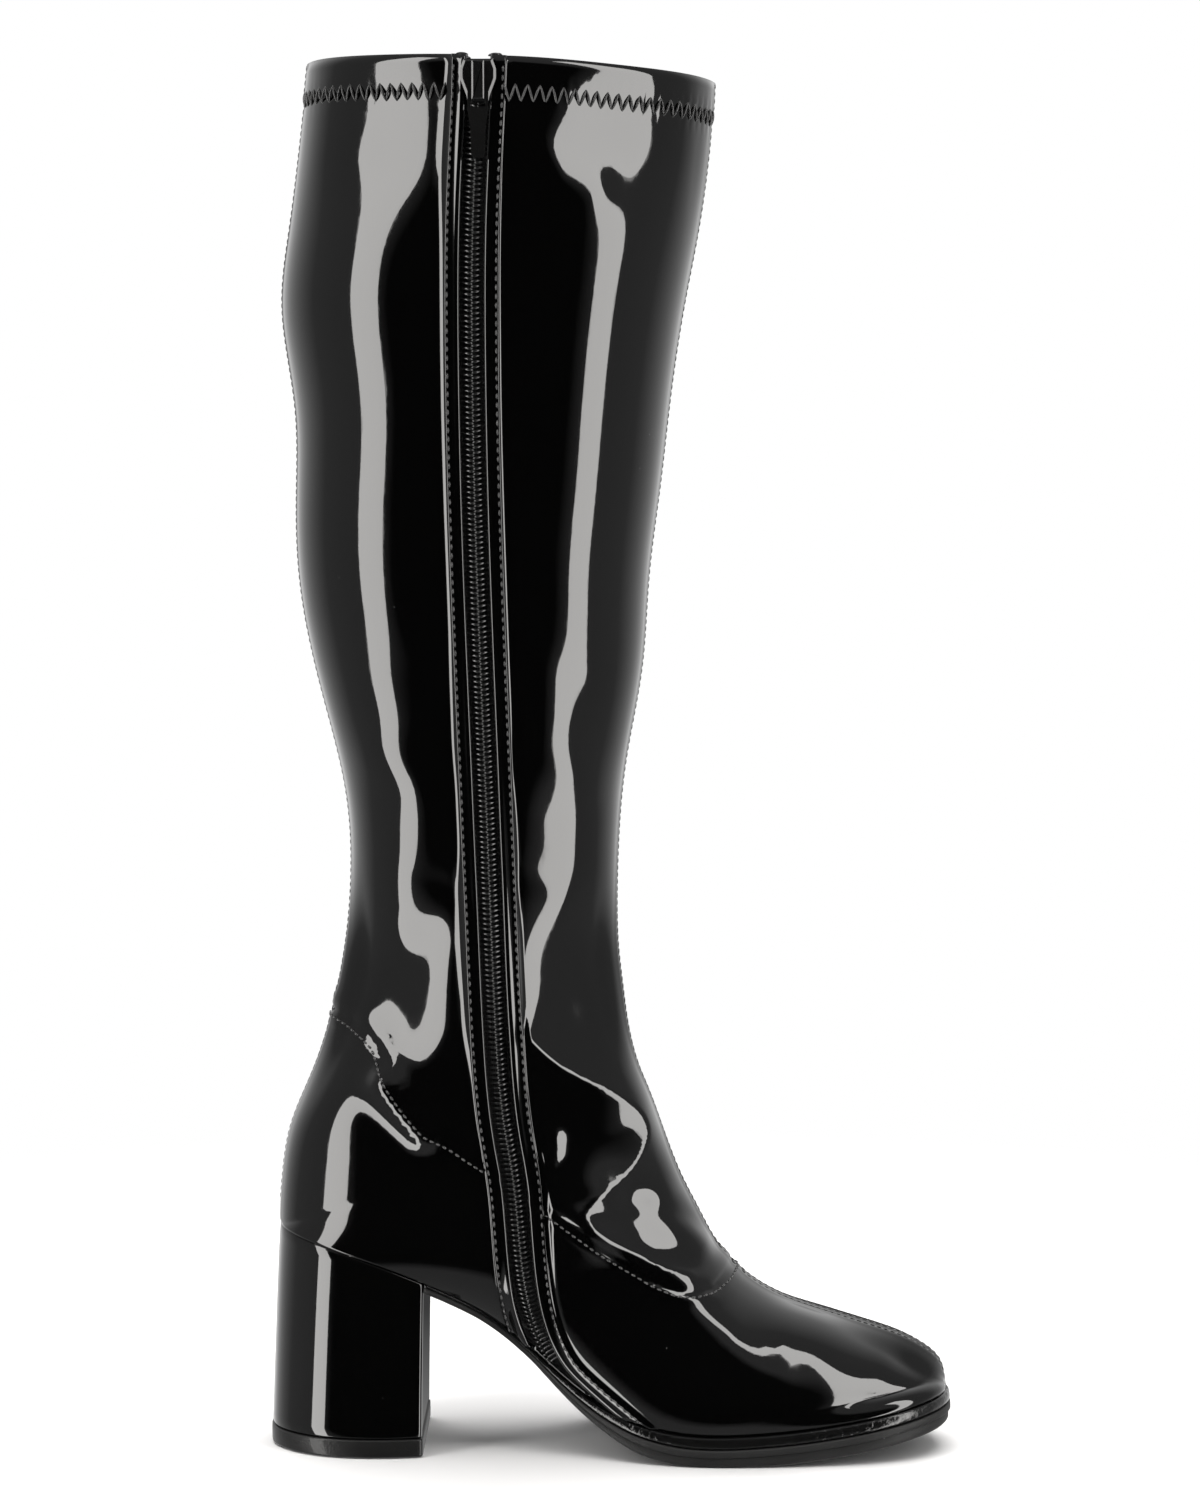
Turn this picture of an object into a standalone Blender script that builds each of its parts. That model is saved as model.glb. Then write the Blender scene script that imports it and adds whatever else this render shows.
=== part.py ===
"""Go go boot, left foot: patent shaft and vamp, covered block heel, thin sole and a zip on the inside of the leg.

Metres. +X points to the toe, +Z up and -Y to the inside of the leg. The origin is on the floor, under the
middle of the heel.
"""
from collections import namedtuple
import math

import bmesh
import bpy
import numpy as np
from mathutils import Matrix

# Foot and last
FOOT_LENGTH = 0.2273        # heel back to toe tip, along the upper's lower edge
HEEL_REACH = 0.0226         # that edge starts this far behind the origin
BALL_WIDTH = 0.084          # upper across the ball
INSTEP_DEPTH = 0.060        # lower edge to the top of the instep
HEEL_HEIGHT = 0.0757        # floor to the heel seat, at the back
SOLE_EDGE = 0.0097          # floor to the upper's lower edge, at the ball

# Shaft
BOOT_HEIGHT = 0.4657        # floor to the collar, at the back
SHAFT_WIDTH = 0.098         # shaft across its widest place
WALL = 0.0018               # patent and lining

# Sole, heel and insole
OUTSOLE_EDGE = 0.0065       # outsole under the ball, before its flat spot is worn off level
OUTSOLE_WAIST = 0.0020      # outsole under the waist
RAND_EDGE = 0.0039          # glossy strip above it at the ball
RAND_WAIST = 0.0010
RAND_PROUD = 0.0008         # how far the strip stands out past the upper
RAND_ROUND = 0.0010         # rounding of its upper edge
OUTSOLE_PROUD = 0.0014
OUTSOLE_LINE = 0.0024       # top of the outsole to the fine step round its edge
OUTSOLE_STEP = 0.0007       # how far the edge steps in there
OUTSOLE_ROUND = 0.0013      # rounding of its lower edge
INSOLE_THICKNESS = 0.0020
INSOLE_ROOM = 0.0014        # between its edge and the wall
HEEL_LENGTH = 0.0500        # heel seat, back to breast
HEEL_FOOT_GROWTH = 0.0022   # how much longer the heel is at the floor
HEEL_FOOT_WIDTH = 0.0555
HEEL_RAKE = 0.0030          # its back leans this far backwards, down to the floor
HEEL_FLARE = 0.8            # 1 for straight sides, less where they draw in near the seat
TIP_THICKNESS = 0.0062
TIP_PROUD = 0.0004

# Zip
SLOT_WIDTH = 0.0072
FACING_WIDTH = 0.0175       # both folded facings and the slot between them
FACING_RAISE = 0.0007
FACING_STEP = 0.0004        # the facing's edge slopes over this width
COIL_WIDTH = 0.0062
COIL_THICKNESS = 0.0016
COIL_DEPTH = 0.0001         # under the upper's surface
COIL_END = 0.0021           # the coil stands up past the collar
TAPE_WIDTH = 0.0150
TAPE_THICKNESS = 0.0006
TAPE_END = 0.0030           # the tape stands up past the collar
SLIDER_WIDTH = 0.0115
SLIDER_LENGTH = 0.0140
SLIDER_PLATE = 0.0012
SLIDER_ROUND = 0.0003       # rounding of its edges
SLIDER_DROP = 0.0042        # collar to the top of the slider
BRIDGE_WIDTH = 0.0040
BRIDGE_LENGTH = 0.0124
BRIDGE_BAR = 0.0009         # thickness of the bar over the plate
BRIDGE_LEG = 0.0012         # length of each of its two legs along the slider
BRIDGE_ROUND = 0.0002
LEG_INSET = 0.0001          # the legs stand in from the bar's edges
BRIDGE_ROOM = 0.0018        # under the bridge, for the pull's pin
PIN_RADIUS = 0.00055
PULL_LENGTH = 0.0205
PULL_WIDTH = 0.0067
PULL_THICKNESS = 0.0010
PULL_ROUND = 0.00025
PULL_EYE = 0.0042           # pin to the end of the eye
EYE_ROOM = 0.00035          # beside the bridge

GAP = 0.0003                # between pieces that touch
HEEL_RISE = HEEL_HEIGHT - SOLE_EDGE
SHAFT_RISE = BOOT_HEIGHT - HEEL_HEIGHT - INSTEP_DEPTH

# One row for each section of the last, from the collar down to the heel seat and on to the toe. A section is
# a slanted plane from a point of the back line to a point of the front line. x is a share of FOOT_LENGTH from
# the heel's back. lift is a share of HEEL_RISE, instep of INSTEP_DEPTH and shaft of SHAFT_RISE, which add up
# to a height. seat is half the width of the lower edge and side half the width of the upper, as shares of
# BALL_WIDTH. leg is the same for the shaft, as a share of SHAFT_WIDTH. swing moves a section to the outside.
# The negative seat over the heel seat only steers the curve into the round back of the heel.
Section = namedtuple("Section", "x lift instep shaft "
                                "front_x front_lift front_instep front_shaft seat side leg swing")
LAST = [
    Section(0.052, 1.00, 1.00, 1.000, 0.647, 1.00, 1.00, 0.982, 0.00, 0.000, 0.490, 0.00),
    Section(0.040, 1.00, 1.00, 0.925, 0.641, 1.00, 1.00, 0.918, 0.00, 0.000, 0.497, 0.00),
    Section(0.023, 1.00, 1.00, 0.835, 0.625, 1.00, 1.00, 0.837, 0.00, 0.000, 0.500, 0.00),
    Section(0.012, 1.00, 1.00, 0.750, 0.603, 1.00, 1.00, 0.757, 0.00, 0.000, 0.492, 0.00),
    Section(0.030, 1.00, 1.00, 0.655, 0.583, 1.00, 1.00, 0.665, 0.00, 0.000, 0.472, 0.00),
    Section(0.031, 1.00, 1.00, 0.560, 0.568, 1.00, 1.00, 0.575, 0.00, 0.000, 0.452, 0.00),
    Section(0.038, 1.00, 1.00, 0.465, 0.552, 1.00, 1.00, 0.485, 0.00, 0.000, 0.430, 0.00),
    Section(0.068, 1.00, 1.00, 0.365, 0.542, 1.00, 1.00, 0.393, 0.00, 0.000, 0.402, 0.00),
    Section(0.101, 1.00, 1.00, 0.270, 0.520, 1.00, 1.00, 0.305, 0.00, 0.000, 0.372, 0.00),
    Section(0.109, 1.00, 1.00, 0.180, 0.508, 1.00, 1.00, 0.228, 0.00, 0.000, 0.350, 0.00),
    Section(0.095, 1.00, 1.00, 0.090, 0.505, 1.00, 1.00, 0.160, 0.00, 0.050, 0.285, 0.00),
    Section(0.062, 1.00, 0.93, 0.010, 0.507, 1.00, 1.00, 0.106, 0.00, 0.200, 0.155, 0.00),
    Section(0.024, 1.00, 0.63, 0.000, 0.514, 1.00, 1.00, 0.062, 0.00, 0.330, 0.045, 0.00),
    Section(0.006, 1.00, 0.34, 0.000, 0.522, 1.00, 1.00, 0.022, -0.17, 0.372, 0.000, 0.00),
    Section(0.000, 1.00, 0.00, 0.000, 0.535, 0.98, 0.94, 0.000, 0.00, 0.374, 0.000, 0.00),
    Section(0.020, 0.98, 0.00, 0.000, 0.549, 0.92, 0.87, 0.000, 0.17, 0.376, 0.000, 0.00),
    Section(0.078, 0.93, 0.00, 0.000, 0.566, 0.82, 0.81, 0.000, 0.30, 0.380, 0.000, 0.00),
    Section(0.160, 0.84, 0.00, 0.000, 0.584, 0.69, 0.76, 0.000, 0.345, 0.385, 0.000, 0.00),
    Section(0.240, 0.72, 0.00, 0.000, 0.604, 0.55, 0.73, 0.000, 0.315, 0.390, 0.000, 0.00),
    Section(0.318, 0.565, 0.00, 0.000, 0.627, 0.41, 0.715, 0.000, 0.265, 0.395, 0.000, 0.00),
    Section(0.385, 0.375, 0.00, 0.000, 0.650, 0.27, 0.705, 0.000, 0.262, 0.410, 0.000, 0.00),
    Section(0.455, 0.180, 0.00, 0.000, 0.677, 0.16, 0.695, 0.000, 0.320, 0.440, 0.000, 0.00),
    Section(0.535, 0.055, 0.00, 0.000, 0.712, 0.07, 0.680, 0.000, 0.405, 0.477, 0.000, 0.00),
    Section(0.625, 0.010, 0.00, 0.000, 0.760, 0.03, 0.625, 0.000, 0.460, 0.500, 0.000, 0.00),
    Section(0.720, 0.020, 0.00, 0.000, 0.822, 0.03, 0.545, 0.000, 0.462, 0.488, 0.000, -0.005),
    Section(0.810, 0.050, 0.00, 0.000, 0.885, 0.05, 0.452, 0.000, 0.425, 0.444, 0.000, -0.015),
    Section(0.890, 0.090, 0.00, 0.000, 0.938, 0.09, 0.345, 0.000, 0.360, 0.374, 0.000, -0.035),
    Section(0.950, 0.125, 0.00, 0.000, 0.973, 0.12, 0.240, 0.000, 0.265, 0.276, 0.000, -0.050),
    Section(0.987, 0.145, 0.00, 0.000, 0.993, 0.14, 0.130, 0.000, 0.145, 0.152, 0.000, -0.058),
    Section(1.000, 0.150, 0.00, 0.000, 1.000, 0.15, 0.000, 0.000, 0.000, 0.000, 0.000, -0.060),
]
COLLAR = 0
HEEL_SEAT = 14              # the section whose lower edge starts, at the back of the heel
TOE = len(LAST) - 1

# The foot is wider on its outside than on its inside. along is a share of FOOT_LENGTH, the others multiply
# half the width.
Bias = namedtuple("Bias", "along inside outside")
BIAS = [Bias(0.00, 1.00, 1.00), Bias(0.35, 0.93, 1.07), Bias(0.55, 0.96, 1.04), Bias(0.70, 0.95, 1.05),
        Bias(1.00, 1.00, 1.00)]

# Middle of the zip seen from the side: x as a share of FOOT_LENGTH from the heel's back, height as for LAST
ZipPoint = namedtuple("ZipPoint", "x lift instep shaft")
ZIP_LINE = [
    ZipPoint(0.311, 1.00, 1.00, 1.060),
    ZipPoint(0.308, 1.00, 1.00, 0.960),
    ZipPoint(0.301, 1.00, 1.00, 0.860),
    ZipPoint(0.298, 1.00, 1.00, 0.740),
    ZipPoint(0.301, 1.00, 1.00, 0.560),
    ZipPoint(0.310, 1.00, 1.00, 0.360),
    ZipPoint(0.320, 1.00, 1.00, 0.170),
    ZipPoint(0.334, 1.00, 0.84, 0.000),
    ZipPoint(0.354, 0.86, 0.46, 0.000),
    ZipPoint(0.370, 0.60, 0.13, 0.000),
    ZipPoint(0.402, 0.355, 0.00, 0.000),
    ZipPoint(0.450, 0.165, 0.00, 0.000),
    ZipPoint(0.540, -0.08, 0.00, 0.000),
]

# How far the sole has grown from its thickness at the waist to that at the ball. along is a share of
# FOOT_LENGTH.
Build = namedtuple("Build", "along grown")
SOLE_BUILD = [Build(0.00, 0.0), Build(0.30, 0.0), Build(0.38, 0.10), Build(0.46, 0.50), Build(0.53, 0.88),
              Build(0.60, 1.0), Build(1.00, 1.0)]

# One side of the slider's and the pull's outline, from the top down: shares of half the width, and of the length
Side = namedtuple("Side", "across down")
SLIDER_OUTLINE = [Side(0.80, 0.00), Side(1.00, 0.22), Side(1.00, 0.45), Side(0.63, 0.85), Side(0.56, 1.00)]
PULL_OUTLINE = [Side(1.00, 0.00), Side(1.00, 0.27), Side(0.73, 0.56), Side(0.69, 0.93), Side(0.43, 1.00)]

# How many rings of points the upper has between two rows of LAST: closer where the edge turns round
Span = namedtuple("Span", "first last rings")
SPANS = [Span(0, 10.5, 14), Span(10.5, 14, 7), Span(14, 15.6, 7), Span(15.6, 27, 19), Span(27, 29, 9)]
BACK_COLUMNS = 6
FRONT_COLUMNS = 8
OUTER_COLUMNS = 14
HEEL_RINGS = 6
ROW_ROOM = 0.12             # rows closer than this to one that is wanted are left out


def spline(rows, at):
    """Natural cubic curve through evenly spaced rows: second slopes solve one linear system, so bends stay soft."""
    rows = np.asarray(rows, float)
    count = len(rows)
    system = np.eye(count)
    target = np.zeros_like(rows)
    for i in range(1, count - 1):
        system[i, i - 1:i + 2] = (1, 4, 1)
        target[i] = 6 * (rows[i - 1] - 2 * rows[i] + rows[i + 1])
    bend = np.linalg.solve(system, target)
    at = np.clip(np.asarray(at, float), 0, count - 1)
    low = np.minimum(at.astype(int), count - 2)
    t = (at - low)[..., None]
    s = 1 - t
    return (s * rows[low] + t * rows[low + 1]
            + ((s ** 3 - s) * bend[low] + (t ** 3 - t) * bend[low + 1]) / 6)


def height(lift, instep, shaft):
    return SOLE_EDGE + lift * HEEL_RISE + instep * INSTEP_DEPTH + shaft * SHAFT_RISE


def along(share):
    return share * FOOT_LENGTH - HEEL_REACH


def section(v):
    """Back point, front point, half widths and swing of the sections at v, a row number that may be a fraction."""
    beyond_toe = LAST[-2]._replace(seat=-LAST[-2].seat, side=-LAST[-2].side)
    v = np.minimum(v, TOE)
    row = spline(LAST + [beyond_toe], v)
    x, lift, instep, shaft, fx, fl, fi, fs, seat, side, leg, swing = np.moveaxis(row, -1, 0)
    on_foot = v > HEEL_SEAT
    back = np.stack([along(x), height(lift, np.where(on_foot, 0, instep), np.where(on_foot, 0, shaft))], -1)
    front = np.stack([along(fx), height(fl, fi, fs)], -1)
    half = np.maximum(side * BALL_WIDTH + leg * SHAFT_WIDTH, 0)
    seat = np.where(on_foot, np.clip(seat * BALL_WIDTH, 0, half * 0.999), 0)
    shares, inside, outside = np.array(BIAS).T
    foot = np.where(on_foot, x, 0)
    return back, front, half, seat, swing * BALL_WIDTH, np.interp(foot, shares, inside), np.interp(foot, shares, outside)


def start_angle(half, seat):
    return np.arcsin(np.clip(seat / np.maximum(half, 1e-9), 0, 1))


def surface(v, share, side):
    """Point of the upper: section v, share 0 at the lower edge or back seam and 1 at the front seam.

    Across the section the half width follows a sine from the edge's own angle to 180 degrees, while the place
    along the section's chord follows the cosine, which makes an ellipse cut off by the lower edge.
    side is -1 for the inside of the leg and 1 for the outside.
    """
    back, front, half, seat, swing, inside, outside = section(v)
    start = start_angle(half, seat)
    turn = np.arccos(np.clip(np.cos(start) - share * (np.cos(start) + 1), -1, 1))
    wide = half * np.sin(turn) * np.where(side < 0, inside, outside)
    flat = back + share[..., None] * (front - back)
    return np.stack([flat[..., 0], swing + side * wide, flat[..., 1]], -1)


def share_at(v, fraction, low=0.0):
    """Share of the chord at an even fraction of the turn from share low to the front seam."""
    half, seat = section(v)[2:4]
    start = start_angle(half, seat)
    first = np.arccos(np.clip(np.cos(start) - low * (np.cos(start) + 1), -1, 1))
    turn = first + fraction * (math.pi - first)
    return (np.cos(start) - np.cos(turn)) / (np.cos(start) + 1)


def zip_line(across):
    """The zip's middle line seen from the side, moved sideways by across."""
    rows = spline(ZIP_LINE, np.linspace(0, len(ZIP_LINE) - 1, 200))
    x, lift, instep, shaft = rows.T
    line = np.stack([along(x), height(lift, instep, shaft)], -1)
    step = np.gradient(line, axis=0)
    step /= np.linalg.norm(step, axis=1)[:, None]
    return line + across * np.stack([-step[:, 1], step[:, 0]], -1)


def zip_crossing(v, across):
    """Where each section's chord crosses the zip's line: share of the chord, below 0 past the lower edge."""
    back, front = section(v)[:2]
    line = zip_line(across)
    share = np.empty(len(v))
    length = np.maximum(np.linalg.norm(front - back, axis=1), 1e-6)
    for i in range(len(v)):
        chord = (front[i] - back[i]) / length[i]
        offset = line - back[i]
        over = chord[0] * offset[:, 1] - chord[1] * offset[:, 0]
        share[i] = np.interp(0, over[::-1], (offset @ chord)[::-1]) / length[i]
    return share, length


def zip_share(v, across, floor=0.0):
    """The same crossing, held at floor, a length along the section from the lower edge."""
    share, length = zip_crossing(v, across)
    return np.clip(share, np.minimum(floor / length, 0.9), 0.9)


def run_off(across, floor=0.0):
    """Row number of the section where the zip's line moved by across comes down to floor."""
    v = np.linspace(HEEL_SEAT, TOE - 1, 400)
    share, length = zip_crossing(v, across)
    return v[np.argmax(share * length <= floor)]


def with_rows(even, wanted):
    """Even row numbers, less those close to a wanted one, and the wanted ones."""
    wanted = np.array(wanted)
    clear = np.abs(even[:, None] - wanted[None, :]).min(1) > ROW_ROOM
    return np.sort(np.concatenate([even[clear], wanted]))


def zip_edges():
    """Lines across the zip, from its middle: outer edges of the facings, where they are full high, and the slot."""
    edge, slot = FACING_WIDTH / 2, SLOT_WIDTH / 2
    return [-edge - FACING_STEP, -edge, -slot, slot, edge, edge + FACING_STEP]


def row_at(x):
    """Row number whose lower edge is at x."""
    v = np.linspace(HEEL_SEAT, TOE, 400)
    edge = surface(v, np.zeros(len(v)), np.full(len(v), -1))[:, 0]
    return float(np.interp(x, edge, v))


def ring_rows():
    """Row numbers of the upper's rings, with one where each edge of the zip runs off and one at the heel breast."""
    even = np.unique(np.concatenate([np.linspace(span.first, span.last, span.rings) for span in SPANS]))
    return with_rows(even, [run_off(a) for a in zip_edges()] + [row_at(HEEL_LENGTH - HEEL_REACH)])


def outward(grid):
    """Unit normals of a grid of points, from its two directions; where the grid has collapsed they are zero."""
    down, over = np.gradient(grid, axis=0), np.gradient(grid, axis=1)
    normal = np.cross(down, over)
    size = np.linalg.norm(normal, axis=-1, keepdims=True)
    return normal / np.maximum(size, 1e-12) * (size > 1e-10)


def surface_normal(v, share, side):
    """Unit normal of the upper from its slopes down the boot and around it."""
    h = 0.01
    share = np.clip(share, h, 1 - h)
    down = surface(v + h, share, side) - surface(v - h, share, side)
    over = surface(v, share + h, side) - surface(v, share - h, side)
    normal = np.cross(down, over) * -side[..., None]
    return normal / np.linalg.norm(normal, axis=-1, keepdims=True)


def edge_height(x):
    """Height of the upper's lower edge at x, straight between the upper's rings as its faces are."""
    v = ring_rows()
    v = v[v >= HEEL_SEAT]
    edge = surface(v, np.zeros(len(v)), np.full(len(v), -1))
    return np.interp(x, edge[:, 0], edge[:, 2])


def mesh_from(name, points, faces):
    """Weld points that fall together, drop what collapsed and point the faces outwards."""
    mesh = bpy.data.meshes.new(name)
    mesh.from_pydata(points.reshape(-1, 3).tolist(), [], faces)
    work = bmesh.new()
    work.from_mesh(mesh)
    bmesh.ops.remove_doubles(work, verts=work.verts, dist=2e-5)
    bmesh.ops.dissolve_degenerate(work, edges=work.edges, dist=1e-6)
    bmesh.ops.delete(work, geom=[edge for edge in work.edges if edge.is_wire], context="EDGES")
    bmesh.ops.recalc_face_normals(work, faces=work.faces)
    work.to_mesh(mesh)
    work.free()
    return mesh


def quads(rings, columns, closed, skip=()):
    """Faces between neighbouring rings; closed joins the last column to the first, skip leaves columns open."""
    faces = []
    last = columns if closed else columns - 1
    for r in range(rings - 1):
        for c in range(last):
            if c in skip:
                continue
            d = (c + 1) % columns
            faces.append((r * columns + c, r * columns + d, (r + 1) * columns + d, (r + 1) * columns + c))
    return faces


def loft(name, rings, paired=0):
    """Closed body through rings of points. Its ends are flat caps, or strips between paired sides of the ring."""
    count, columns = rings.shape[:2]
    faces = quads(count, columns, True)
    for first in (0, (count - 1) * columns):
        if paired:
            faces += [tuple(first + k % columns for k in (i, i + 1, columns - i - 1, columns - i))
                      for i in range(paired - 1)]
        else:
            faces.append(tuple(range(first, first + columns)))
    return mesh_from(name, rings, faces)


def add_object(name, mesh, material, sharp=35):
    part = bpy.data.objects.new(name, mesh)
    bpy.data.collections["go_go_boot"].objects.link(part)
    mesh.materials.append(material)
    mesh.shade_smooth()
    mesh.set_sharp_from_angle(angle=math.radians(sharp))
    return part


def finish(name, colour, roughness, metallic=0.0):
    material = bpy.data.materials.new(name)
    material.use_nodes = True
    shader = material.node_tree.nodes["Principled BSDF"]
    shader.inputs["Base Color"].default_value = (*colour, 1)
    shader.inputs["Roughness"].default_value = roughness
    shader.inputs["Metallic"].default_value = metallic
    return material


def upper(material):
    """Open surface of the shaft and vamp with a slot for the zip, given its wall by Solidify."""
    v = ring_rows()
    zip_columns = [zip_share(v, a) for a in zip_edges()]
    outer_edge = zip_columns[0]
    start = start_angle(*section(v)[2:4])
    first = np.arccos(np.clip(np.cos(start) - outer_edge * (np.cos(start) + 1), -1, 1))
    shares = []
    for i in range(BACK_COLUMNS):
        turn = start + (first - start) * i / BACK_COLUMNS
        shares.append((np.cos(start) - np.cos(turn)) / (np.cos(start) + 1))
    shares += zip_columns
    shares += [share_at(v, i / FRONT_COLUMNS, zip_columns[-1]) for i in range(1, FRONT_COLUMNS + 1)]
    sides = [-1] * len(shares)
    shares += [share_at(v, i / OUTER_COLUMNS) for i in range(OUTER_COLUMNS - 1, -1, -1)]
    sides += [1] * OUTER_COLUMNS
    grid = np.stack([surface(v, share, np.full(len(v), side)) for share, side in zip(shares, sides)], 1)
    facing = slice(BACK_COLUMNS + 1, BACK_COLUMNS + 5)
    above_edge = np.stack(shares[facing], 1) > 0
    grid[:, facing] += outward(grid)[:, facing] * (FACING_RAISE * above_edge)[..., None]
    mesh = mesh_from("upper", grid, quads(len(v), len(shares), False, skip=(BACK_COLUMNS + 2,)))
    part = add_object("upper", mesh, material)
    wall = part.modifiers.new("Wall", "SOLIDIFY")
    wall.thickness = WALL
    wall.offset = -1
    wall.use_even_offset = False
    level_lower_edge(part)
    return part


def level_lower_edge(part):
    """Apply the wall and lift its inner rim where it dips under the lower edge, so that it stands level."""
    solid = bpy.data.meshes.new_from_object(part.evaluated_get(bpy.context.evaluated_depsgraph_get()))
    part.modifiers.clear()
    part.data = solid
    points = np.empty(len(solid.vertices) * 3)
    solid.vertices.foreach_get("co", points)
    points = points.reshape(-1, 3)
    floor = edge_height(points[:, 0])
    points[:, 2] = np.where(points[:, 2] > floor - WALL, np.maximum(points[:, 2], floor), points[:, 2])
    solid.vertices.foreach_set("co", points.ravel())
    solid.update()


def outline(v, grow):
    """Both sides of the lower edge at v seen from above, moved outwards by grow: inside and outside points."""
    foot = ring_rows()
    foot = np.union1d(foot[foot >= HEEL_SEAT], v)
    edge = [surface(foot, np.zeros(len(foot)), np.full(len(foot), side)) for side in (-1, 1)]
    loop = np.concatenate([edge[0], edge[1][-2:0:-1]])[:, :2]
    tangent = np.roll(loop, -1, axis=0) - np.roll(loop, 1, axis=0)
    tangent /= np.linalg.norm(tangent, axis=1)[:, None]
    moved = loop + grow * np.stack([tangent[:, 1], -tangent[:, 0]], -1)
    inside = moved[:len(foot)]
    outside = np.concatenate([moved[:1], moved[len(foot):][::-1], moved[len(foot) - 1:len(foot)]])
    wanted = np.isin(foot, v)
    return inside[wanted], outside[wanted]


def layer(name, v, profile):
    """Plate under the lower edge. profile lists (outwards, below the edge) pairs, each an array along v."""
    plain = outline(v, 0.0)
    moved = outline(v, 1.0)
    sides = [[], []]
    for outwards, below in profile:
        for side, start, end in zip(sides, plain, moved):
            flat = start + (end - start) * outwards[:, None]
            side.append(np.column_stack([flat, np.maximum(edge_height(flat[:, 0]) - below, 0)]))
    return loft(name, np.stack(sides[0] + sides[1][::-1], 1))


def sole_thickness(v, waist, ball):
    """Thickness along v, which grows from the waist's to the ball's, and the share of that growth."""
    share = (surface(v, np.zeros(len(v)), np.full(len(v), -1))[:, 0] + HEEL_REACH) / FOOT_LENGTH
    build = np.interp(share, *np.array(SOLE_BUILD).T)
    return waist + (ball - waist) * build, build


def insole(material):
    """Board with its sock on the heel seat and the sole, a little inside the wall."""
    v = ring_rows()
    v = v[v >= HEEL_SEAT]
    inset = np.full(len(v), -WALL - INSOLE_ROOM)
    mesh = layer("insole", v, [(inset, np.full(len(v), -INSOLE_THICKNESS)), (inset, np.zeros(len(v)))])
    return add_object("insole", mesh, material)


def sole_layers(rand_material, outsole_material):
    """Strip and outsole from the heel breast to the toe, thin and flush at the waist, thick and proud at the ball."""
    breast = row_at(HEEL_LENGTH - HEEL_REACH + GAP)
    v = ring_rows()
    v = np.concatenate([[breast], v[v > breast]])
    strip, build = sole_thickness(v, RAND_WAIST, RAND_EDGE)
    sole, build = sole_thickness(v, OUTSOLE_WAIST, OUTSOLE_EDGE)
    top = np.full(len(v), GAP)
    edge = RAND_PROUD * build
    curve = RAND_ROUND * np.maximum(build, 0.1)
    rand = layer("rand", v, [(edge - curve, top), (edge, top + np.minimum(curve, strip / 2)), (edge, top + strip)])
    top = top + strip + GAP
    edge = OUTSOLE_PROUD * build
    line = OUTSOLE_LINE / OUTSOLE_EDGE * sole
    curve = OUTSOLE_ROUND / OUTSOLE_EDGE * sole
    lower = edge - OUTSOLE_STEP * build
    outsole = layer("outsole", v, [(lower, top), (edge, top + curve / 3), (edge, top + line),
                                   (lower, top + line + curve / 4), (lower, top + sole - curve),
                                   (lower - curve, top + sole)])
    return add_object("rand", rand, rand_material), add_object("outsole", outsole, outsole_material)


def heel_outlines(grow):
    """D-shaped outlines of the heel with the same number of points: under the seat, and at the floor plus grow."""
    v = ring_rows()
    v = v[(v >= HEEL_SEAT) & (v <= row_at(HEEL_LENGTH - HEEL_REACH))]
    inside, outside = outline(v, 0.0)
    seat = np.concatenate([inside, outside[:0:-1]])
    seat_z = edge_height(seat[:, 0])
    low, high = seat.min(0), seat.max(0)
    length = HEEL_LENGTH + HEEL_FOOT_GROWTH
    foot = (seat - low) / (high - low) * (length + 2 * grow, HEEL_FOOT_WIDTH + 2 * grow)
    foot += (-HEEL_REACH - HEEL_RAKE - grow, (low[1] + high[1] - HEEL_FOOT_WIDTH) / 2 - grow)
    return seat, seat_z, foot


def heel(material):
    """Block that narrows a little from the seat to the top piece, following the seat's slope at its upper end."""
    seat, seat_z, foot = heel_outlines(0.0)
    rings = []
    for level in np.linspace(0, 1, HEEL_RINGS):
        flat = seat + (foot - seat) * level ** HEEL_FLARE
        z = (seat_z - GAP) * (1 - level) + (TIP_THICKNESS + GAP) * level
        rings.append(np.column_stack([flat, z]))
    return add_object("heel", loft("heel", np.stack(rings), paired=len(seat) // 2 + 1), material)


def heel_tip(material):
    """Top piece under the heel, a little proud of it all round."""
    foot = heel_outlines(TIP_PROUD)[2]
    rings = [np.column_stack([foot, np.full(len(foot), z)]) for z in (TIP_THICKNESS, 0.0)]
    return add_object("heel_tip", loft("heel_tip", np.stack(rings)), material)


def zip_strip(name, width, columns, depth, thickness, floor, past, material):
    """Strip that follows the zip, its outer face at depth under the upper's surface, its end past the collar."""
    across = np.linspace(-width / 2, width / 2, columns)
    ends = [run_off(a, floor) for a in across]
    v = ring_rows()
    v = with_rows(v[v < ends[-1]], ends)
    side = np.full(len(v), -1)
    shares = [zip_share(v, a, floor) for a in across]
    grid = np.stack([surface(v, share, side) for share in shares], 1)
    normal = np.stack([surface_normal(v, share, side) for share in shares], 1)
    rings = np.concatenate([grid - normal * depth, (grid - normal * (depth + thickness))[:, ::-1]], 1)
    rings = np.concatenate([rings[:1] + np.array([0, 0, past]), rings])[:-1]
    return add_object(name, loft(name, rings), material)


def slider_place():
    """Middle of the slider's outer plate face: on the zip, just clear of the facings."""
    v = np.linspace(COLLAR, 3, 60)
    line = surface(v, zip_share(v, 0.0), np.full(len(v), -1))
    z = height(1, 1, LAST[COLLAR].shaft) - SLIDER_DROP - SLIDER_LENGTH / 2
    x = np.interp(-z, -line[:, 2], line[:, 0])
    reach = np.abs(line[:, 2] - z) < SLIDER_LENGTH
    y = line[reach, 1].min() - FACING_RAISE - GAP - SLIDER_PLATE
    return x, y, z


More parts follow.
